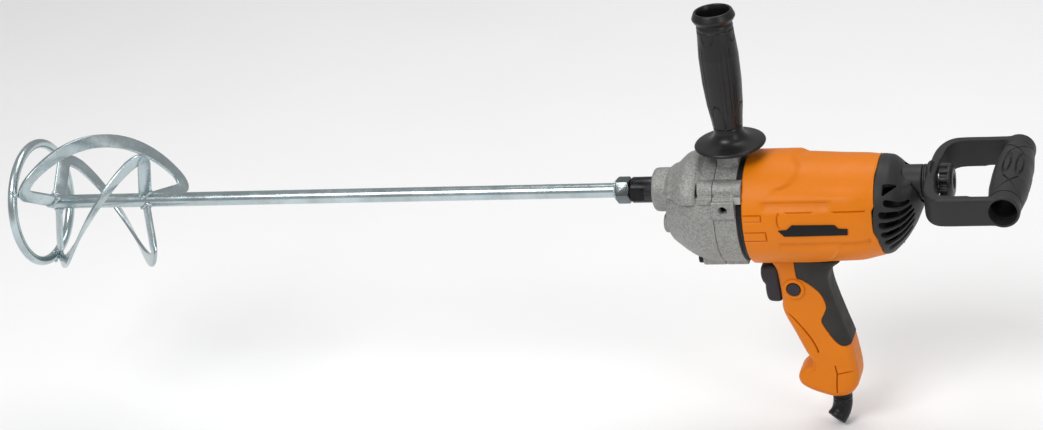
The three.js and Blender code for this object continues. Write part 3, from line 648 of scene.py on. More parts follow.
def rubber(name, colour, roughness):
    """Soft matt rubber with a faint bloom and paler worn edges."""
    f = Finish(name, roughness, 0.0, Specular_IOR_Level=0.26)
    bloom = f.noise(26.0, 5.0, 0.6)
    base = f.mixed(f.ramp(bloom, (0.35, 0.0), (0.7, 1.0)), shade(colour, 0.85), shade(colour, 1.2))
    base = f.mixed(f.edges(0.53, 0.62), base, shade(colour, 1.6))
    f.colour(base)
    f.rough(f.noise(80.0, 5.0, 0.6), roughness - 0.08, roughness + 0.08)
    f.bump(f.noise(2200.0, 2.0, 0.6), 0.5, 0.035)
    return f.material


def banded(name, colour, roughness, axis, scale, distortion, dark, grain, rough_span, bump):
    """Fine lines side by side across one axis: the edges of stacked sheets, or wound wire."""
    f = Finish(name, roughness, 0.9)
    wave = f.node("ShaderNodeTexWave", wave_type="BANDS", bands_direction=axis)
    wave.inputs["Scale"].default_value = scale
    wave.inputs["Distortion"].default_value = distortion
    f.link(f.place, wave.inputs["Vector"])
    f.colour(f.mixed(wave.outputs["Fac"], shade(colour, dark), colour))
    f.rough(f.noise(grain, 3.0, 0.5), *rough_span)
    f.bump(wave.outputs["Fac"], *bump)
    return f.material


ORANGE = (0.67, 0.178, 0.003)
CHARCOAL = (0.0205, 0.0205, 0.021)
BLACK = (0.006, 0.006, 0.0066)
CAST = (0.285, 0.285, 0.273)
ZINC = (0.5, 0.575, 0.595)

PLASTICS = {
    "orange_plastic": (ORANGE, 0.42, 1500.0, 0.05, 0.22),
    "charcoal_plastic": (CHARCOAL, 0.5, 1300.0, 0.05, 0.32),
    "side_grip_plastic": (BLACK, 0.36, 1400.0, 0.045, 0.38),
    "black_plastic": ((0.01, 0.01, 0.011), 0.42, 1500.0, 0.04, 0.4),
    "trigger_plastic": ((0.026, 0.021, 0.026), 0.5, 1500.0, 0.045, 0.3),
    "badge_plastic": ((0.006, 0.0055, 0.0055), 0.4, 1800.0, 0.015, 0.2),
}
RUBBERS = {
    "rubber": ((0.028, 0.0265, 0.025), 0.62),
    "boot_rubber": ((0.006, 0.006, 0.007), 0.36),
    "carbon": ((0.025, 0.025, 0.026), 0.7),
    "gasket": ((0.018, 0.02, 0.022), 0.55),
}
STEELS = {
    "machined_steel": ((0.6, 0.61, 0.62), 0.28),
    "brass": ((0.72, 0.52, 0.22), 0.3),
}
ZINCS = {
    "zinc_plate": (ZINC, 0.12, 0.07),
    "zinc_weld": (ZINC, 0.35, 0.35),
    "zinc_dull": ((0.17, 0.19, 0.195), 0.35, 0.35),
}
BANDS = {
    "laminated_steel": ((0.27, 0.28, 0.3), 0.45, "X", 320.0, 0.3, 0.6, 120.0, (0.38, 0.55), (0.4, 0.06)),
    "copper": ((0.62, 0.25, 0.12), 0.3, "Y", 260.0, 1.2, 0.45, 90.0, (0.24, 0.4), (0.6, 0.25)),
}

LOOKS = {
    "cast_aluminium": cast_metal("cast_aluminium", CAST),
    "black_steel": rubbed_black("black_steel"),
}
for make, table in ((plastic, PLASTICS), (rubber, RUBBERS), (steel, STEELS), (zinc, ZINCS), (banded, BANDS)):
    for look, values in table.items():
        LOOKS[look] = make(look, *values)


# ---------------------------------------------------------------- mixing paddle

SHAFT_R = 6.25
SHAFT_TIP_X = -547.0
RING_X = -558.0
RING_R = 53.3
RING_WIRE_R = 4.2
BLADE_LINE_R = 54.0
STRIP = (12.0, 3.0)
TIP_HUB_X = -542.0
DRILL_HUB_X = -452.0
TIP_CORNER_X = -551.5
DRILL_CORNER_X = -436.5
BLADE_WRAP = math.radians(161)
BLADE_ANGLES = [math.radians(57 + 120 * i) for i in range(3)]
BLADE_EASE = 0.05
ARM_PITCH = math.radians(45)
CORNER_REACH = 14.0
NUT_HALF_FLATS = 10.0
AXIAL = np.array([1.0, 0.0, 0.0])


def rim_point(t, tip):
    ease = t - BLADE_EASE * math.sin(2 * math.pi * t) / (2 * math.pi)
    angle = tip - BLADE_WRAP * (1 - t)
    x = DRILL_CORNER_X + (TIP_CORNER_X - DRILL_CORNER_X) * ease
    return np.array([x, -BLADE_LINE_R * math.sin(angle), BLADE_LINE_R * math.cos(angle)])


def rim_normal(t, tip):
    tangent = unit(rim_point(min(1, t + 0.01), tip) - rim_point(max(0, t - 0.01), tip))
    point = rim_point(t, tip)
    return unit(np.cross(unit(np.array([0, point[1], point[2]])), tangent))


def blade_arm(tip, end):
    t = 0.0 if end == "drill" else 1.0
    corner = rim_point(t, tip)
    angle = tip - BLADE_WRAP * (1 - t)
    hub = DRILL_HUB_X if end == "drill" else TIP_HUB_X
    root = np.array([hub, -5.2 * math.sin(angle), 5.2 * math.cos(angle)])
    along = unit(corner - root)
    width = unit(np.cross(AXIAL, along)) * math.cos(ARM_PITCH) - AXIAL * math.sin(ARM_PITCH)
    return root, corner, unit(np.cross(along, width)), corner - along * CORNER_REACH


def blade(tip):
    reach = CORNER_REACH / (BLADE_WRAP * BLADE_LINE_R)
    points, normals = [], []

    def station(point, normal):
        points.append(point)
        normals.append(unit(normal))

    def bend(start, corner, end, first, last):
        for k in range(17):
            s = k / 16
            station((1 - s) ** 2 * start + 2 * s * (1 - s) * corner + s * s * end, first * (1 - s) + last * s)

    root, corner, normal, knee = blade_arm(tip, "drill")
    for k in range(8):
        station(root + (knee - root) * k / 8, normal)
    bend(knee, corner, rim_point(reach, tip), normal, rim_normal(reach, tip))
    for k in range(1, 72):
        t = reach + (1 - 2 * reach) * k / 72
        station(rim_point(t, tip), rim_normal(t, tip))
    root, corner, normal, knee = blade_arm(tip, "tip")
    bend(rim_point(1 - reach, tip), corner, knee, rim_normal(1 - reach, tip), normal)
    for k in range(1, 9):
        station(knee + (root - knee) * k / 8, normal)
    return swept(points, slab_section(*STRIP, 0.75), normals)


def ball(centre, radius):
    bm = bmesh.new()
    bmesh.ops.create_icosphere(bm, subdivisions=2, radius=radius * MM)
    bmesh.ops.translate(bm, verts=bm.verts, vec=Vector(placed([centre])[0]))
    return from_bmesh(bm)


def bead(path, radius):
    """A weld run: overlapping uneven blobs along the path."""
    blobs = []
    for point in path:
        jitter = np.array([chance.uniform(-0.35, 0.35) for _ in range(3)])
        blobs.append(ball(point + jitter, radius * chance.uniform(0.8, 1.25)))
    return blobs


def build_paddle():
    body = "spindle_and_paddle"
    wire = lathe(
        [
            (
                RING_X + RING_WIRE_R * math.sin(k * math.pi / 14),
                RING_R + RING_WIRE_R * math.cos(k * math.pi / 14),
            )
            for k in range(29)
        ],
        about_x(),
        160,
    )
    show(wire, "paddle_ring_wire", ["paddle_ring"], "zinc_plate", body=body)
    for i, tip in enumerate(BLADE_ANGLES):
        show(blade(tip), f"paddle_blade_strip_{i + 1}", [f"paddle_blade_{i + 1}"], "zinc_plate", body=body)
    rod = lathe(
        [
            (SHAFT_TIP_X, 0), (SHAFT_TIP_X, SHAFT_R, 1.2), (-300, SHAFT_R), (-40, SHAFT_R),
            (-11, SHAFT_R), (-11, 0),
        ],
        about_x(),
        64,
    )
    show(rod, "paddle_rod", ["paddle_shaft"], "zinc_plate", body=body)

    nut = prism(hexagon(NUT_HALF_FLATS / math.cos(math.pi / 6)), -12.5, -0.3, "x")
    dome = lathe(
        [(-12.5, 0), (-12.5, 9.6), (-11.0, 11.7), (-1.8, 11.7), (-0.3, 9.6), (-0.3, 0)], about_x(), 72,
    )
    nut = united(common(nut, dome), rod_x(-1, 15, 6.7, segments=40, edge=0.6))
    show(
        bevelled(nut, 0.25), "paddle_hex_nut", ["paddle_hex_adapter"], "zinc_plate", look="zinc_dull",
        body=body,
    )

    blobs = []
    for tip in BLADE_ANGLES:
        for end in ("drill", "tip"):
            root, corner, normal, _ = blade_arm(tip, end)
            along = unit(corner - root)
            across = unit(np.cross(normal, along))
            foot = root + along * (SHAFT_R - 4.4)
            for side in (-1, 1):
                line = [foot + normal * side * 2.2 + across * s for s in np.linspace(-5.6, 5.6, 8)]
                line = [unit(p * [0, 1, 1]) * (SHAFT_R + 0.5) + p * [1, 0, 0] for p in line]
                blobs += bead(line, 1.55)
            blobs += bead([foot + along * 1.2 + across * side * 5.8 for side in (-1, 1)], 1.7)
        corner = rim_point(1.0, tip)
        for side in (-1, 1):
            around = [
                corner + np.array([-3.4, 0, 0]) + unit(corner * [0, 1, 1]) * s + side * 2.0
                * rim_normal(1.0, tip)
                for s in np.linspace(-5, 4, 6)
            ]
            blobs += bead(around, 1.5)
    for a in np.arange(0, 2 * math.pi, 0.3):
        blobs += bead([np.array([-13.3, (SHAFT_R + 1.0) * math.cos(a), (SHAFT_R + 1.0) * math.sin(a)])], 1.45)
    welds = remeshed(joined(blobs), 0.45, 1)
    show(welds, "paddle_weld_beads", [], "zinc_plate", look="zinc_weld", body=body, sharp=180)


def build_spindle():
    nose = lathe(
        [
            (18, 0), (18, 7), (0, 7, 0.8), (0, 9.4, 0.6), (1.6, 11, 0.5), (20.6, 11), (20.6, 10),
            (40, 10), (40, 12, 0.5),
            (65.2, 12, 0.5), (65.2, 10), (79, 10, 0.5), (79, 6), (87.4, 6, 0.5), (87.4, 0),
        ],
        about_x(),
        96,
    )
    flats = [block(-1, 13, 9.5, 12, -12, 12), block(-1, 13, -12, -9.5, -12, 12)]
    show(
        bevelled(cut(nose, *flats), 0.3), "output_spindle_nose", ["output_spindle"], "black_steel",
        body="spindle_and_paddle",
    )


# ---------------------------------------------------------------- gear case


def around_motor(angle, radius):
    return -radius * math.sin(angle), MOTOR_Z + radius * math.cos(angle)


def screw_places():
    return [around_motor(angle + math.pi, SCREW_RADIUS) for angle in SCREW_ANGLES]


def at_screws(start, end, radius, segments, edge=0.0, upper=True, lower=True):
    """A rod round the axis of each case screw."""
    places = [place for place in screw_places() if (upper if place[1] > MOTOR_Z else lower)]
    return [rod_x(start, end, radius, z, y, segments, edge) for y, z in places]


def upper_lug(start, end, side):
    """The bulge that carries an upper screw: a round back with a straight-edged skirt under it."""
    low, high = sorted((side * 20.0, side * 42.6))
    return [rod_x(start, end, 8.6, 12.4, side * 31.0, 48, 0.6), block(start, end, low, high, 5.2, 11.0)]


def build_front_cover():
    shell = lathe(
        [
            (33, 0), (33, 23.5, 3), (36.5, 28, 3), (46, 35.2), (54, 40.5, 5), (61, 43.4, 4),
            (67, 45.4, 3), (74, CASE_R, 2),
            (SPLIT_X - 0.3, CASE_R, 0.5), (SPLIT_X - 0.3, 0),
        ],
        about_x(MOTOR_Z),
        144,
    )
    boss = lathe(
        [(21.0, 0), (21.0, 16.8, 0.8), (22.4, 18.2, 1), (25, 18.5, 1), (42, 18.5), (42, 0)], about_x(),
        96,
    )
    parts = [boss]
    parts.append(lathe([(25, 0), (25, 7, 2), (26.4, 8.6, 1.5), (48, 8.8), (48, 0)], about_x(-31.0), 64))
    parts.append(
        lathe([(31.6, 0), (31.6, 6.2, 1.5), (33, 7.8, 1.5), (50, 8), (50, 0)], about_x(-38.0, -2.0), 48)
    )
    drum = lathe(
        [
            (34, 0), (34, 17, 2), (37, 20, 2), (42, 21.6, 2), (45.5, 25, 3), (50.5, 29.2, 4),
            (56, 30.4, 3), (62.6, 30.3, 2), (66.6, 28.4, 2), (74, 26.4), (74, 0),
        ],
        about_x(),
        128,
    )
    for vertex in drum.data.vertices:
        vertex.co.y *= 1.38
    parts.append(common(drum, block(30, 72, -60, 60, 4.4, 40)))
    parts += at_screws(60, SPLIT_X - 0.3, LOWER_LUG_R, 40, 0.8, upper=False)
    parts += [lug for side in (-1, 1) for lug in upper_lug(66.5, SPLIT_X - 0.3, side)]
    body = united(shell, *parts)
    cavity = lathe(
        [
            (44, 0), (44, 29), (54, 37), (61, 39.9), (67, CASE_INNER_R), (SPLIT_X + 1, CASE_INNER_R),
            (SPLIT_X + 1, 0),
        ],
        about_x(MOTOR_Z),
        96,
    )
    cavity = cut(cavity, *at_screws(40, SPLIT_X + 2, SCREW_POST_R, 32))
    body = cut(
        body, cavity, rod_x(33, 50, 13), rod_x(29.6, 37.6, 8.1, COUNTER_Z), rod_x(37, 50, 6, COUNTER_Z),
    )
    body = cut(body, *at_screws(40, 60, 5, 32, upper=False))
    body = remeshed(body, 0.7, 2)
    holes = [rod_x(19.5, 33.8, 16.1)] + at_screws(59, SPLIT_X + 1, SCREW_HOLE_R, 24)
    holes += at_screws(55.4, 60, 4.4, 32, lower=False)
    holes += [block(64.2, 66.8, -48, -31, 9.0, 19.6), block(64.2, 66.8, 31, 48, 9.0, 19.6)]
    body = cut(body, *holes)
    show(body, "gear_case_front", ["gearbox_front_cover"], "cast_aluminium", sharp=50)


def build_rear_case():
    shell = rod_x(SPLIT_X, CASE_REAR_X, CASE_R, MOTOR_Z, 0, 144, 0.5)
    parts = at_screws(SPLIT_X, CASE_REAR_X, LOWER_LUG_R, 40, 0.6, upper=False)
    parts += [lug for side in (-1, 1) for lug in upper_lug(SPLIT_X, CASE_REAR_X, side)]
    parts += [block(SPLIT_X, CASE_REAR_X, 0, PAD_Y, -6, 9), block(SPLIT_X, CASE_REAR_X, -PAD_Y, 0, -6, 9)]
    parts.append(block(SPLIT_X + 1, CASE_REAR_X, -13, 13, 10, 37.2))
    parts.append(rod_z(8, 37.5, 15.2, SIDE_X - 0.4, 72, 1.0))
    body = united(shell, *parts)
    body = cut(body, block(60, SPLIT_X, -30, 30, -10, 60), block(CASE_REAR_X, 130, -30, 30, -10, 60))
    inner = rod_x(SPLIT_X - 1, 88, CASE_INNER_R, MOTOR_Z, 0, 96)
    keep = [rod_x(80.4, 90, 12.5), block(SPLIT_X - 2, 90, -13, 13, 9, 60)]
    keep += at_screws(SPLIT_X - 2, 90, SCREW_POST_R, 32)
    body = cut(body, cut(inner, *keep))
    body = remeshed(body, 0.7, 2)
    holes = [
        rod_x(80, 87.8, 9.1),
        rod_x(89.6, CASE_REAR_X + 1, 10.8, MOTOR_Z),
        rod_x(87, 91, 6, MOTOR_Z),
        rod_x(87, 95.4, 6.5, COUNTER_Z),
        rod_z(14, 38.5, 6.3, SIDE_X),
    ]
    holes += at_screws(SPLIT_X - 1, CASE_REAR_X + 1, SCREW_HOLE_R, 24)
    for low, high in ((-48.5, -35.5), (35.5, 48.5)):
        thread = [(low, 0), (low, 4.35)]
        turns = 12
        for k in range(turns):
            y = low + (high - low) * (k + 0.5) / turns
            thread += [(y - 0.4, 4.35), (y, 3.75), (y + 0.4, 4.35)]
        thread += [(high, 4.35), (high, 0)]
        holes.append(lathe(thread, about_y(88.5, 1.4), 40))
    body = cut(body, *holes)
    show(body, "gear_case_rear", ["gearbox_rear_case"], "cast_aluminium", sharp=50)


def build_case_fittings():
    plate = lathe(
        [
            (98.3, 30), (98.3, 44.6, 0.5), (99.4, 44.6, 0.4), (99.9, 43.8, 0.3), (101.3, 43.8, 0.3),
            (101.8, 44.6, 0.4), (103, 44.6, 0.5), (103, 30), (98.3, 30),
        ],
        about_x(MOTOR_Z),
        128,
    )
    plate = cut(plate, *at_screws(98, 104, SCREW_HOLE_R, 24))
    show(plate, "motor_adapter_gasket_plate", ["motor_adapter_plate"], "black_plastic", look="gasket")
    for i, (y, z) in enumerate(screw_places()):
        screw = lathe(
            [
                (55.7, 0), (55.7, 3.6, 0.5), (56.4, 4.3, 0.5), (59.7, 4.3, 0.3), (59.7, 2.4, 0.2),
                (111, 2.4, 0.5), (111, 0),
            ],
            about_x(z, y),
            48,
        )
        socket = prism(hexagon(2.0, y, z), 55, 58.2, "x")
        show(
            cut(screw, socket), f"case_screw_{i + 1}", [f"gearcase_screw_{i + 1}"], "machined_steel",
            look="black_steel", sharp=30,
        )
    sleeve_places = [place for place in screw_places() if place[1] > MOTOR_Z]
    for i, (y, z) in enumerate(sleeve_places):
        sleeve = cut(
            united(*upper_lug(CASE_REAR_X - 0.5, 103.1, math.copysign(1, y))),
            rod_x(90, 110, 44.9, MOTOR_Z, 0, 96),
        )
        show(sleeve, f"case_lug_end_{i + 1}", [], "cast_aluminium")


# ---------------------------------------------------------------- motor housing and rear cover


def side_angle(angle):
    """Angle from the top, the same on both sides: 0 at the top, pi at the bottom."""
    return math.pi - np.abs(np.abs(np.mod(angle, 2 * math.pi)) - math.pi)


def boundary_shift(angle):
    """How far the joint between the housing and the rear cover steps forward at each angle."""
    s = side_angle(angle)
    middle = band(s, math.radians(66), math.radians(74), math.radians(96), math.radians(112))
    shoulder = band(s, math.radians(16), math.radians(34), math.radians(62), math.radians(76))
    foot = smoothstep(s, math.radians(112), math.radians(126))
    return -3.0 * middle - 1.2 * shoulder + 0.8 * foot


def eased(x, knots, values, reach=6.0):
    """A broken line through the knots, with its corners rounded off."""
    offsets = np.linspace(-reach, reach, 13)
    return np.mean([np.interp(x + offset, knots, values) for offset in offsets], axis=0)


def housing_relief(x, angle):
    """How far the skin of the barrel stands out or in: the raised front, its creases, panels and facets."""
    s = side_angle(angle)
    degrees = np.degrees(s)
    edge = np.interp(
        degrees, [0, 12, 20, 30, 36, 42, 45.5, 48, 60],
        [142, 144.5, 147.5, 147.5, 146, 142.5, 138.5, 132, 124],
    )
    fall = smoothstep(x, edge - 4.5, edge + 4.5)
    front = 2.6 * (1 - smoothstep(degrees, 42, 60))
    skin = band(x, 103.2, 104.5, 209.5, 212)
    result = -front * fall * eased(x, [150, 180, 195, 203, 216], [1.0, 1.38, 1.4, 0.7, 0.1])
    ledge = band(x, 116, 124, 170, 180)
    result -= 1.9 * band(degrees, 60.5, 61.6, 64, 74) * ledge
    result -= 1.4 * ditch(degrees - 72.2, 1.0) * (
        smoothstep(x, 176, 180) - smoothstep(x, 204, 207) + 0.8
        * (smoothstep(x, 138, 141) - smoothstep(x, 160, 164))
    )
    low = smoothstep(x, 130, 134) - smoothstep(x, 205, 208)
    result -= 1.9 * band(degrees, 105.0, 106.1, 109, 118) * low
    panel = np.abs(x - 132.4 - 1.6 * smoothstep(np.abs(degrees - 80), 4, 8))
    result -= 1.2 * ditch(panel, 1.0) * band(degrees, 71.5, 73, 87, 88.5)
    for high, deep, end in ((74, 80.5, 119), (92.5, 102.5, 122)):
        outside = np.maximum(np.maximum(high - degrees, degrees - deep) * 0.83, x - end)
        result -= 1.3 * ditch(outside, 0.95) * (1 - smoothstep(x, end, end + 2)) * (
            1 - smoothstep(outside, 0.6, 1.2)
        )
    facet = smoothstep(x - (182 - 0.42 * (degrees - 110)), -1.5, 1.5) * band(degrees, 108, 111, 140, 160)
    result -= 1.3 * facet * (1 - smoothstep(x, 200, 211))
    return result * skin


def barrel_radius(x):
    return eased(x, [105, 150, 195, 211.2, 217.2], [47.5, 47.5, 46.2, 41.9, 40.4])


def build_housing():
    xs = np.concatenate([[103.3, 103.35, 103.7, 104.3], np.linspace(105, 211.2, 214), [211.7, 212.0]])
    nominal = barrel_radius(xs) - np.interp(
        xs, [103.3, 103.5, 104.3, 105, 211.2, 211.7, 212], [1.1, 0.5, 0.1, 0, 0, 0.1, 0.8],
    )
    inner = [(212.0, 38.7), (184, 39.5), (182, 42.8), (114, 42.8), (112, 38.5), (103.3, 38.5)]
    segments = 320
    angles = full_turn(segments)
    rows = []
    place = about_x(MOTOR_Z)
    for x, r in zip(xs, nominal):
        radius = r + housing_relief(np.full(segments, x), angles)
        shift = boundary_shift(angles) * smoothstep(x, 200, 212)
        rows.append(place(x + shift, radius, angles))
    for x, r in inner:
        shift = boundary_shift(angles) * smoothstep(x, 200, 212)
        rows.append(place(x + shift, np.full(segments, r), angles))
    shell = raw(np.vstack(rows), grid_faces(len(rows), segments, True))
    show(shell, "motor_housing_shell", ["motor_housing"], "orange_plastic", sharp=50)


def build_badge():
    """Plain trapezoid strip wrapped on the near side of the housing."""
    outline = [
        (132.8, -16.6), (139.8, -16.2), (144.6, -12.0), (179.3, -12.7), (182.6, -16.1), (189.9, -16.6),
        (189.3, -22.0), (137.4, -22.0),
    ]
    closed = outline + outline[:1]
    dense = [np.array(a) + (np.array(b) - a) * k / 12 for a, b in zip(closed, closed[1:]) for k in range(12)]
    strip = prism(dense, 0.0, 1.0, "y")
    modifier = strip.modifiers.new("fine", "SUBSURF")
    modifier.subdivision_type = "SIMPLE"
    modifier.levels = 2
    settle(strip)
    for vertex in strip.data.vertices:
        x, y, z = (np.array(vertex.co) - NOSE) / MM
        base = float(housing_surface(x, z))
        vertex.co = Vector(placed([(x, -base - 0.15 + 0.75 * y - 0.75, z)])[0])
    show(strip, "badge_strip_plain", ["badge_strip"], "black_plastic", look="badge_plastic", sharp=30)


def housing_surface(x, z):
    """Half-width of the housing at a height on its side."""
    drop_down = z - MOTOR_Z
    nominal = barrel_radius(x)
    angle = np.array([math.acos(max(-1.0, min(1.0, drop_down / nominal)))])
    radius = nominal + housing_relief(np.array([x]), angle)[0]
    return math.sqrt(max(0.0, radius**2 - drop_down**2))


DOME = [
    (212.4, -17.0, 41.4), (216, -16.9, 41.1), (219, -16.6, 40.4), (222, -16.2, 39.4), (226, -15.6, 36.2),
    (229, -15.2, 33.2),
    (233, -13.8, 29.3), (239, -9.4, 23.9), (243.5, -5.0, 18.0), (246.4, -2.5, 12.5),
]
VENTS = [
    (64, 218.5, 238), (77.5, 214.4, 239.5), (90, 213.8, 240.5), (103, 214.8, 240.5), (116, 216.5, 239.5),
    (130, 218.5, 237),
]
VENT_WIDTH = 5.7
VENT_TWIST = 10.0


def dome_at(x):
    knots = np.array(DOME)
    return np.interp(x, knots[:, 0], knots[:, 1]), np.interp(x, knots[:, 0], knots[:, 2])


def dome_point(x, degrees, depth, side):
    z, r = dome_at(x)
    angle = math.radians(degrees) * side
    return np.array([x, -(r - depth) * math.sin(angle), z + (r - depth) * math.cos(angle)])


def vent_cutter(degrees, start, end, side):
    """A slot that follows the dome's own line from its rim towards the neck, with rounded ends."""
    xs = np.linspace(start, end, 22)
    rows = []
    for i, x in enumerate(xs):
        taper = math.sqrt(max(0.05, 1 - abs(2 * i / (len(xs) - 1) - 1) ** 12))
        _, r = dome_at(x)
        half = math.degrees(VENT_WIDTH / 2 * taper / r)
        narrow = 0.5 + 0.5 * min(1.0, max(0.0, (r - 22) / 16))
        turned = degrees + VENT_TWIST * i / (len(xs) - 1)
        for depth, spread in ((-3, 1.15), (-3, -1.15), (7.5, -0.9), (7.5, 0.9)):
            rows.append(dome_point(x, turned + half * spread * narrow, depth, side))
    return triangulated(raw(rows, capped_faces(len(xs), 4)))


def build_rear_cover():
    segments = 240
    angles = full_turn(segments)
    rows = []
    knots = np.array(DOME)
    path = spline(knots, 70, closed=False)
    path[0] = knots[0]
    for x, z, r in path:
        shift = boundary_shift(angles) * (1 - smoothstep(x, 212, 219))
        degrees = np.degrees(side_angle(angles))
        sunk = smoothstep(degrees, 40, 47) * band(x, 219, 222.5, 241, 245)
        radius = r - 1.1 * sunk
        rows.append(np.stack([x + shift, -radius * np.sin(angles), z + radius * np.cos(angles)], -1))
    outer = loft(rows)

    inner_rows = []
    inner_knots = [(208.0, MOTOR_Z, 38.4)] + [(x - 1.4, z, r - 3.2) for x, z, r in DOME if x < 230]
    for x, z, r in inner_knots:
        t = full_turn(96)
        inner_rows.append(np.stack([x + 0 * t, -r * np.sin(t), z + r * np.cos(t)], -1))
    inner = loft(inner_rows)

    shoulder = lathe(
        [(222, 0), (222, 14.5), (246.4, 14.5, 0.8), (246.4, 0)],
        about_x(REAR_Z),
        96,
    )
    outer = cut(outer, cut(rod_x(230.5, 250, 16.8, REAR_Z), rod_x(220, 252, 14.4, REAR_Z)))
    body = united(
        cut(outer, inner),
        cut(
            shoulder,
            lathe([(210, 0), (210, 14.5), (228, 14.5, 2), (236, 9.5, 2), (238, 0)], about_x(REAR_Z), 64),
        ),
    )
    seat = cut(rod_x(214, 226, 14, MOTOR_Z, 0, 64), rod_x(212, 223, 10.9, MOTOR_Z, 0, 64))
    web = [cut(rod_x(213.2, 214.6, 38.8, MOTOR_Z, 0, 96), rod_x(210, 216, 13.6, MOTOR_Z, 0, 64))]
    web += [
        block(219, 232, -1.2, 1.2, MOTOR_Z + 12, MOTOR_Z + 30),
        block(217, 226, -1.2, 1.2, MOTOR_Z - 36, MOTOR_Z - 12),
    ]
    web += [
        block(217, 226, -37, -12, MOTOR_Z - 1.2, MOTOR_Z + 1.2),
        block(217, 226, 12, 37, MOTOR_Z - 1.2, MOTOR_Z + 1.2),
    ]
    body = united(body, seat, *web)
    cutters = []
    for side in (1, -1):
        cutters += [vent_cutter(*vent, side) for vent in VENTS]
        notch = [
            dome_point(x, d, depth, side)
            for depth in (-3, 5)
            for x, d in ((217.5, 57), (229.5, 41), (218, 42.5))
        ]
        cutters.append(raw(notch, [(0, 1, 2), (3, 5, 4), (0, 3, 4, 1), (1, 4, 5, 2), (2, 5, 3, 0)]))
    cutters.append(rod_x(222, 225.8, 8, MOTOR_Z, 0, 48))
    cutters.append(rod_x(230, 250, REAR_BOLT_BORE_R, REAR_Z, 0, 48))
    body = cut(body, *cutters)
    body = remeshed(body, 0.55, 1)
    show(body, "motor_rear_cover", ["rear_cover"], "charcoal_plastic", sharp=60)

    collar = lathe(
        [
            (246.8, 4.6), (246.8, 14.0, 0.4), (247.3, 14.5, 0.3), (248.0, 14.5, 0.2), (248.2, 13.9),
            (248.5, 13.9), (248.7, 14.5, 0.2),
            (250.1, 14.5, 0.4), (250.1, 4.6), (246.8, 4.6),
        ],
        about_x(REAR_Z),
        96,
    )
    show(collar, "rear_handle_collar", ["rear_collar"], "charcoal_plastic")


# ---------------------------------------------------------------- pistol grip

FRONT_EDGE = [
    (112, -58), (117.4, -70), (118.9, -85), (119.4, -99), (119.0, -107.5), (121.6, -117), (126.6, -129),
    (133.4, -147), (139, -159),
]
TOE = [
    (139.6, -161.4), (138.6, -162.6), (131, -165.4), (125.4, -172), (126.6, -180), (134.6, -186),
    (146, -190.6), (156, -193.0), (167, -191.2), (174.0, -185),
]
BACK_EDGE = [
    (177.2, -177), (177.6, -168), (176.4, -156), (174.2, -141), (169.2, -123), (164.2, -104), (161, -89),
    (160.8, -79), (165, -70), (172, -62),
]
GRIP_TOP = [(150, -52), (128, -52)]
SEAM = [
    (135.2, -50), (135.2, -75), (139, -78), (147, -84), (154, -92), (157.5, -103), (155.4, -110),
    (152.4, -116), (153.5, -122), (162, -137), (169, -141.6), (178, -140.4),
]
GRIP_HALF = 17.0
LOCK_X = 132.0
LOCK_Z = -86.5


def housing_space():
    return rod_x(90, 230, 47.9, MOTOR_Z, 0, 128)


def grip_body(grow=0.0):
    outline = anticlockwise(spline((FRONT_EDGE + TOE + BACK_EDGE + GRIP_TOP)[::-1], 260))
    body = pillow(inset(outline, -grow), GRIP_HALF + grow, 8.5, 10)
    return remeshed(body, 0.8, 1)


def seam_region(gap):
    """Everything behind the seam between the orange shells and the soft overmould."""
    line = spline(SEAM, 90, closed=False)
    outline = np.vstack([line + [gap, gap * 0.6], [(200, -140), (200, -50)]])
    return prism(outline, -30, 30, "y")


def crease_cutter(path, width, depth, side):
    """A shallow V groove on the flat side of the grip along an (X, Z) path."""
    line = spline(path, 60, closed=False)
    points = np.stack([line[:, 0], np.full(len(line), side * GRIP_HALF), line[:, 1]], -1)
    section = np.array([(-width * 0.7, 0.8), (0, -depth), (width * 0.7, 0.8)])
    normals = np.tile([0.0, side, 0.0], (len(line), 1))
    return swept(points, section, normals)


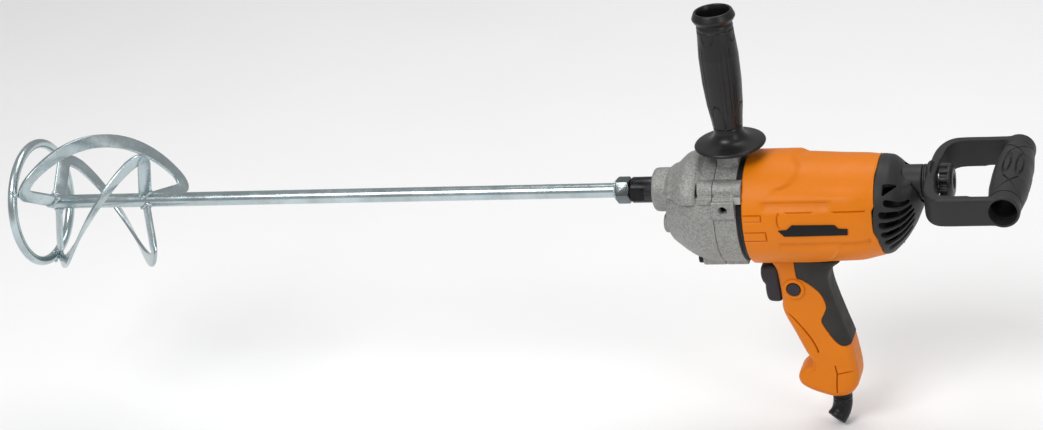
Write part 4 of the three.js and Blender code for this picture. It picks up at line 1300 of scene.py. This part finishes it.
def build_grip():
    whole = cut(grip_body(), housing_space())
    orange = cut(whole, seam_region(0.0))
    inside = [
        block(100, 127.4, -11.6, 11.6, -103.4, -50),
        block(126, 144.4, -9.4, 9.4, -112.4, -83.6),
        block(150, 166, -5, 5, -184, -150),
        rod_z(-201, -176, 8.7, 158.8),
    ]
    screws = [(129, -117), (146, -157), (138, -176)]
    orange = remeshed(orange, 0.7, 3)
    for side, name, node in (
        (-1, "grip_shell_near", "grip_left_shell"), (1, "grip_shell_far", "grip_right_shell"),
    ):
        keep = block(90, 190, -30, -0.12, -210, -40) if side < 0 else block(90, 190, 0.12, 30, -210, -40)
        half = common(duplicate(orange), keep)
        creases = [
            [
                (121, -108), (126.7, -112.1), (131.2, -117.9), (137.1, -126.5), (142.1, -135.1),
                (145.2, -143), (146.2, -147.5),
            ],
            [(158.9, -160), (159.6, -165), (159.8, -168.9), (158.8, -177), (158.0, -187)],
            [(159.8, -168.9), (166, -167), (176, -165.4)],
        ]
        half = cut(
            half,
            *[crease_cutter(path, width, 2.2, side) for path, width in zip(creases, (1.7, 1.2, 1.2))],
        )
        if side < 0:
            ring = lathe(
                [
                    (-18.9, 7.2), (-18.9, 8.4, 0.5), (-18.0, 9.3, 0.8), (-15.5, 9.6), (-15.5, 6.1),
                    (-18.3, 6.1, 0.4), (-18.9, 7.2),
                ],
                about_y(LOCK_X, LOCK_Z),
                72,
            )
            half = united(half, ring)
            half = cut(half, rod_y(-20, 0, 6.1, LOCK_X, LOCK_Z, 64))
        else:
            half = cut(half, *[rod_y(14.2, 20, 3.7, x, z, 40) for x, z in screws])
        half = cut(half, *[duplicate(o) for o in inside])
        half = cut(half, *[rod_y(-8, 20, 1.7, x, z, 24) for x, z in screws])
        show(half, name, [node], "orange_plastic", sharp=40)
    for o in inside + [orange]:
        drop(o)

    soft = cut(common(grip_body(0.5), seam_region(0.45)), housing_space())
    hollow = common(grip_body(-2.6), block(100, 200, -13.5, 13.5, -210, -40))
    soft = cut(soft, hollow)
    soft = remeshed(soft, 0.6, 1)
    show(soft, "grip_soft_cover", ["grip_overmould"], "rubber", sharp=60)

    for i, (x, z) in enumerate(screws):
        screw = lathe(
            [
                (-6, 0), (-6, 0.6), (-5, 1.4), (12.3, 1.4), (12.3, 3.3, 0.2), (14.0, 3.4, 0.6),
                (15.2, 2.4, 0.8), (15.4, 0),
            ],
            about_y(x, z),
            40,
        )
        arms = [
            block(x - 1.9, x + 1.9, 13.6, 16, z - 0.35, z + 0.35),
            block(x - 0.35, x + 0.35, 13.6, 16, z - 1.9, z + 1.9),
        ]
        show(
            cut(screw, united(*arms)), f"grip_screw_cross_{i + 1}", [f"grip_screw_{i + 1}"],
            "machined_steel", sharp=30,
        )


def duplicate(obj):
    return linked(obj.name, obj.data.copy())


def build_switch():
    outline = spline(
        [
            (108.8, -67.6), (104.6, -69.4), (103.4, -74), (103.2, -79), (104.4, -83.6), (106.0, -86.0),
            (106.0, -90), (106.2, -96),
            (107.4, -100.4), (110.4, -102.2), (117, -102.4), (119.6, -99.5), (119.6, -88), (119.4, -73),
            (117, -68.2), (113, -67.4),
        ][::-1],
        150,
    )
    lever = pillow(anticlockwise(outline), 11.0, 3.4, 7)
    ribs = [rod_y(-12, 12, 0.55, 103.4 + 0.02 * k, -74.5 - 2.2 * k, 16) for k in range(4)]
    lever = cut(remeshed(lever, 0.5, 1), *ribs)
    show(
        lever, "trigger_lever", ["trigger"], "black_plastic", look="trigger_plastic", body="trigger",
        sharp=50,
    )
    button = lathe(
        [
            (-19.0, 0), (-19.0, 1.5), (-19.3, 3.6), (-19.6, 4.8, 0.3), (-19.4, 5.3, 0.4),
            (-18.6, 5.75, 0.4), (-12.6, 5.75, 0.3), (-12.6, 0),
        ],
        about_y(LOCK_X, LOCK_Z),
        72,
    )
    show(
        button, "lock_on_button", ["lock_button"], "black_plastic", look="trigger_plastic",
        body="lock_button",
    )


def build_boot():
    """Strain relief: a soft sleeve that leaves the toe of the grip straight down and curls forward."""
    path = spline(
        [
            (158.8, 0, -179), (158.8, 0, -187), (158.8, 0, -196), (158.2, -0.6, -205),
            (156.2, -3.2, -211.8), (152.4, -7.4, -216.6),
        ],
        90, closed=False,
    )
    t = full_turn(48)
    total = travelled(path)[-1]
    side = np.array([0.0, 1.0, 0.0])

    def wall(base):
        rows = []
        for p, tangent, s in zip(path, directions(path), travelled(path)):
            across = unit(side - tangent * (side @ tangent))
            up = np.cross(tangent, across)
            r = base(s)
            rows.append(p + np.outer(r * np.cos(t), across) + np.outer(r * np.sin(t), up))
        return rows

    def outer(s):
        groove = sum(0.55 * float(ditch(np.array(s - at), 1.3)) for at in (18.5, 21.5))
        rim = 0.5 * float(smoothstep(np.array(s), total - 4.2, total - 3.2))
        close = 0.6 * float(smoothstep(np.array(s), total - 0.9, total))
        return 8.3 - groove + rim * 0.5 - close

    rows = wall(outer) + wall(lambda s: 4.6)[::-1]
    sleeve = raw(np.vstack(rows), grid_faces(len(rows), 48, True))
    show(sleeve, "strain_relief_sleeve", ["strain_relief_boot"], "rubber", look="boot_rubber", sharp=40)


# ---------------------------------------------------------------- side handle


def petal(height, angle, centre, low, high, spread):
    """Distance in millimetres to the outline of an arched panel between two heights."""
    half = spread * np.sqrt(np.clip(1 - ((height - low) / (high - low)) ** 2, 0, 1))
    away = np.abs(wrapped(angle - centre)) * 15.0
    inside = (height - low) * (high - height) > 0
    return np.where(inside, away - half, 9.0)


def side_relief(height, angle, radius):
    outer = (radius > 11.95) & (height > 52) & (height < 147)
    result = np.zeros_like(radius)
    for k in range(4):
        centre = math.radians(-106 + 90 * k)
        arch = petal(height, angle, centre, 58.0, 80.0, 6.0)
        result -= 0.7 * ditch(arch, 1.1)
        crown = petal(277 - height, angle, centre, 277 - 143.0, 277 - 134.0, 5.0)
        result -= 0.6 * ditch(crown, 1.2)
        between = np.abs(wrapped(angle - centre - math.radians(45))) * 15.5
        middle = band(height, 66, 74, 128, 136)
        result -= 0.6 * (ditch(between - 2.4, 1.0) + ditch(between - 5.6, 1.0)) * middle
    result -= 0.6 * ditch(height - 57.0, 1.0)
    result -= 0.5 * ditch(height - 143.6, 1.0)
    return np.where(outer, result, 0.0)


def build_side_handle():
    low = [
        (37.8, 6.3), (37.8, 15, 0.6), (38.6, 15.4), (39.2, 20), (39.4, 27.8, 0.8), (40.2, 29.2, 0.6),
        (41.4, 29.8, 0.5), (42.8, 29.0, 1.2),
        (43.6, 25.5), (44.4, 21.5), (45.6, 17.6), (47.2, 15.0), (49.6, 13.2), (52.4, 12.3),
    ]
    heights = np.linspace(54, 146, 150)
    grip = list(
        zip(
            heights,
            np.interp(heights, [54, 64, 77, 97, 120, 138, 146], [12, 13, 14.8, 16.2, 16.4, 15.2, 15.0]),
        )
    )
    high = [
        (147.4, 14.7), (148.4, 14.4, 0.3), (149.2, 14.9, 0.3), (150.2, 16.2, 0.4), (152.8, 17.8, 0.5),
        (154.0, 17.8, 0.5), (158.4, 15.9, 0.5),
        (159.0, 14.9, 0.4), (158.6, 13.9, 0.6), (155.0, 13.0, 1.0), (120, 11.8), (100, 11.0, 1.0),
        (100, 6.3), (37.8, 6.3),
    ]
    handle = lathe(low + grip + high, about_z(SIDE_X), 220, side_relief)
    show(
        handle, "side_handle_sleeve", ["side_handle_grip"], "charcoal_plastic", look="side_grip_plastic",
        body="side_handle", sharp=50,
    )
    thread = [(16, 0), (16, 5.0)]
    for k in range(12):
        z = 18 + 1.75 * k
        thread += [(z, 5.2), (z + 0.85, 6.0)]
    thread += [(40, 6.0), (98, 6.0, 0.8), (98, 0)]
    stud = cut(lathe(thread, about_z(SIDE_X), 48), prism(hexagon(3.0, SIDE_X), 92, 100, "z"))
    show(stud, "side_handle_screw", ["side_handle_stud"], "machined_steel", body="side_handle", sharp=30)


# ---------------------------------------------------------------- rear handle

REAR_GRIP_X = 317.0
STRAP_OUTER = [
    (250.4, 0), (250.4, 16), (251.2, 32), (253.4, 43.5), (257.4, 52.4), (263, 58), (271, 60), (292, 60),
    (306, 60), (319, 60),
]
STRAP_INNER = [
    (319, 51), (306, 52), (292, 52), (274.5, 52), (267.6, 50), (262.8, 44.5), (260.2, 35), (258.8, 18),
    (258.4, 0),
]


def build_rear_handle():
    outer = spline(STRAP_OUTER, 70, closed=False)
    inner = spline(STRAP_INNER, 60, closed=False)
    half = np.vstack([outer, inner])
    mirrored = half[1:-1][::-1] * [1, -1]
    outline = anticlockwise(np.vstack([half, mirrored]))
    rim = rounded_rim(12.0, 2.6, 6)
    strap = loft(
        [np.insert(inset(outline, depth * 0.85), 2, REAR_Z + height, axis=1) for height, depth in rim]
    )
    eyes = [rod_y(*span, 13.4, REAR_GRIP_X, REAR_Z, 96, 1.6) for span in ((-60, -46), (46, 60))]
    bushing = lathe(
        [(249.9, 4.4), (250.4, 16, 1.0), (252.6, 17.5, 1), (254, 17.5), (254, 4.4), (249.9, 4.4)],
        about_x(REAR_Z), 72,
    )
    inner_boss = lathe(
        [(256, 4.4), (256, 11.0), (258.7, 10.4, 0.5), (258.7, 4.4), (256, 4.4)], about_x(REAR_Z), 72,
    )
    body = remeshed(joined([strap, *eyes, bushing, inner_boss]), 0.75, 3)
    body = cut(
        body, rod_y(-62, 62, 11.2, REAR_GRIP_X, REAR_Z, 96), rod_x(240, 262, REAR_BOLT_BORE_R, REAR_Z),
        block(240, 250.35, -30, 30, -20, 30),
    )
    body = remeshed(body, 0.6, 1)
    show(body, "rear_handle_bow", ["rear_handle_frame"], "charcoal_plastic", body="rear_handle", sharp=60)

    def grooves(along, angle, radius):
        result = np.zeros_like(radius)
        around = wrapped(angle)
        for face in (math.radians(10), math.radians(130), math.radians(-110)):
            offset = wrapped(around - face) * 15.8
            for end in (-1, 1):
                y = along * end
                curve = 0.06 * (y - 30) ** 2
                result -= 1.7 * ditch(
                    offset - (y - 30) * 0.85 - curve * 0.25, 1.2,
                ) * band(y, 18, 20, 42, 43.5)
                result -= 1.7 * ditch(
                    offset + (y - 30) * 0.85 + curve * 0.25, 1.2,
                ) * band(y, 18, 20, 42, 43.5)
            for centre in (-5.4, 5.4):
                oval = np.hypot((offset - centre) / 3.0, along / 16.5)
                result -= 1.6 * ditch((oval - 1) * 4.0, 1.7)
        outer = radius > 12.5
        return np.where(outer, result, 0.0)

    length = np.linspace(-45.7, 45.7, 260)
    swell = np.interp(
        length, [-45.7, -45.2, -22, 0, 22, 45.2, 45.7], [13.1, 13.5, 15.7, 16.1, 15.7, 13.5, 13.1],
    )
    sleeve = lathe(
        [(-45.7, 11.2)] + list(zip(length, swell)) + [(45.7, 11.2), (-45.7, 11.2)],
        about_y(REAR_GRIP_X, REAR_Z),
        200,
        grooves,
    )
    show(sleeve, "rear_handle_sleeve", ["rear_handle_grip"], "charcoal_plastic", body="rear_handle", sharp=50)

    lobes = 12
    outline = []
    for i in range(lobes):
        for part, r in (
            (-0.36, 12.6), (-0.27, 13.0), (-0.2, 14.6), (-0.1, 15.0), (0.1, 15.0), (0.2, 14.6),
            (0.27, 13.0), (0.36, 12.6),
        ):
            a = 2 * math.pi * (i + part) / lobes
            outline.append((r * math.cos(a), REAR_Z + r * math.sin(a)))
    knob = prism(outline, 260.5, 267.6, "x")
    cap = lathe(
        [
            (260.5, 4.3), (260.5, 12.4), (266.8, 12.6), (267.0, 14.6, 0.8), (269.2, 14.6, 1.6),
            (271, 11.5, 1.2), (271, 6.4, 0.4), (270, 5.8), (270, 4.3), (260.5, 4.3),
        ],
        about_x(REAR_Z), 96,
    )
    knob = cut(knob, rod_x(259, 272, 4.6, REAR_Z))
    knob = united(cap, knob)
    show(
        bevelled(knob, 0.35, 40), "rear_handle_clamp_knob", ["rear_handle_knob"], "black_plastic",
        body="rear_knob", sharp=30,
    )
    bolt = lathe(
        [
            (237.6, 0), (237.6, 3.4, 0.4), (238.4, 4.0), (258.8, 4.0), (258.8, 8.0, 0.25),
            (260.15, 8.0, 0.25), (260.15, 4.0), (269.4, 4.0, 0.5), (269.4, 0),
        ],
        about_x(REAR_Z),
        64,
    )
    show(bolt, "rear_handle_bolt_washer", ["rear_handle_bolt"], "machined_steel", body="rear_knob", sharp=30)


# ---------------------------------------------------------------- carried-over CAD nodes


def dress_inner_nodes():
    """The pieces inside the housings keep their CAD shape and take procedural finishes."""
    for part in frame["record"]["subparts"]:
        node = frame["nodes"][part["node"]]
        if node.hide_render:
            continue
        node.data.materials.clear()
        node.data.materials.append(LOOKS[part["material_slot"]])
        node.data.shade_smooth()
        node.data.set_sharp_from_angle(angle=math.radians(32))


# ---------------------------------------------------------------- stage


def floor_finish():
    f = Finish("studio_floor", 0.6, 0.0, Specular_IOR_Level=0.25)
    f.colour(
        f.mixed(
            f.ramp(f.noise(1.4, 3.0, 0.5), (0.3, 0.0), (0.7, 1.0)), (0.91, 0.91, 0.91),
            (0.94, 0.94, 0.94),
        )
    )
    f.rough(f.noise(9.0, 4.0, 0.6), 0.55, 0.7)
    return f.material


def soft_light(name, place, size, power):
    """A rectangular lamp aimed at the origin."""
    light = bpy.data.lights.new(name, "AREA")
    light.shape = "RECTANGLE"
    light.size, light.size_y = size
    light.energy = power
    obj = linked(name, light)
    obj.location = place
    obj.rotation_euler = (-Vector(place)).to_track_quat("-Z", "Y").to_euler()


def build_stage():
    low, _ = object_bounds()
    mesh = bpy.data.meshes.new("studio_floor")
    z = low.z - 0.0005
    mesh.from_pydata([(-14, -14, z), (14, -14, z), (14, 14, z), (-14, 14, z)], [], [(0, 1, 2, 3)])
    mesh.materials.append(floor_finish())
    floor = linked("studio_floor", mesh)

    world = bpy.data.worlds.new("studio")
    world.use_nodes = True
    background = world.node_tree.nodes["Background"]
    background.inputs["Color"].default_value = (1.0, 1.0, 1.0, 1.0)
    background.inputs["Strength"].default_value = 0.45
    scene.world = world

    soft_light("key_softbox", (-0.6, -1.5, 1.9), (1.3, 0.9), 31.0)
    soft_light("top_softbox", (0.3, 0.6, 2.1), (1.6, 0.9), 19.0)
    soft_light("right_softbox", (1.9, -1.1, 0.8), (0.6, 1.1), 8.0)
    scene.view_settings.view_transform = "Standard"


def build_camera():
    """The view from the near side, a little above and a little behind the tool."""
    camera = bpy.data.cameras.new("camera")
    camera.lens = 89.65
    camera.sensor_width = 36.0
    camera.clip_start = 0.05
    camera.clip_end = 60.0
    obj = linked("camera", camera)
    right = Vector((0.94812162, 0.27703368, -0.15594146))
    up = Vector((0.01680605, 0.44616049, 0.89479516))
    back = Vector((0.31746332, -0.85099539, 0.41835856))
    turn = Matrix((right, up, back)).transposed().to_4x4()
    location = Vector(placed([(605.12, -1894.48, 909.66)])[0])
    obj.matrix_world = Matrix.Translation(location) @ turn
    scene.camera = obj


# ---------------------------------------------------------------- assembly

build_camera()
build_paddle()
build_spindle()
build_front_cover()
build_rear_case()
build_case_fittings()
build_housing()
build_badge()
build_rear_cover()
build_grip()
build_switch()
build_boot()
build_side_handle()
build_rear_handle()
dress_inner_nodes()
build_stage()
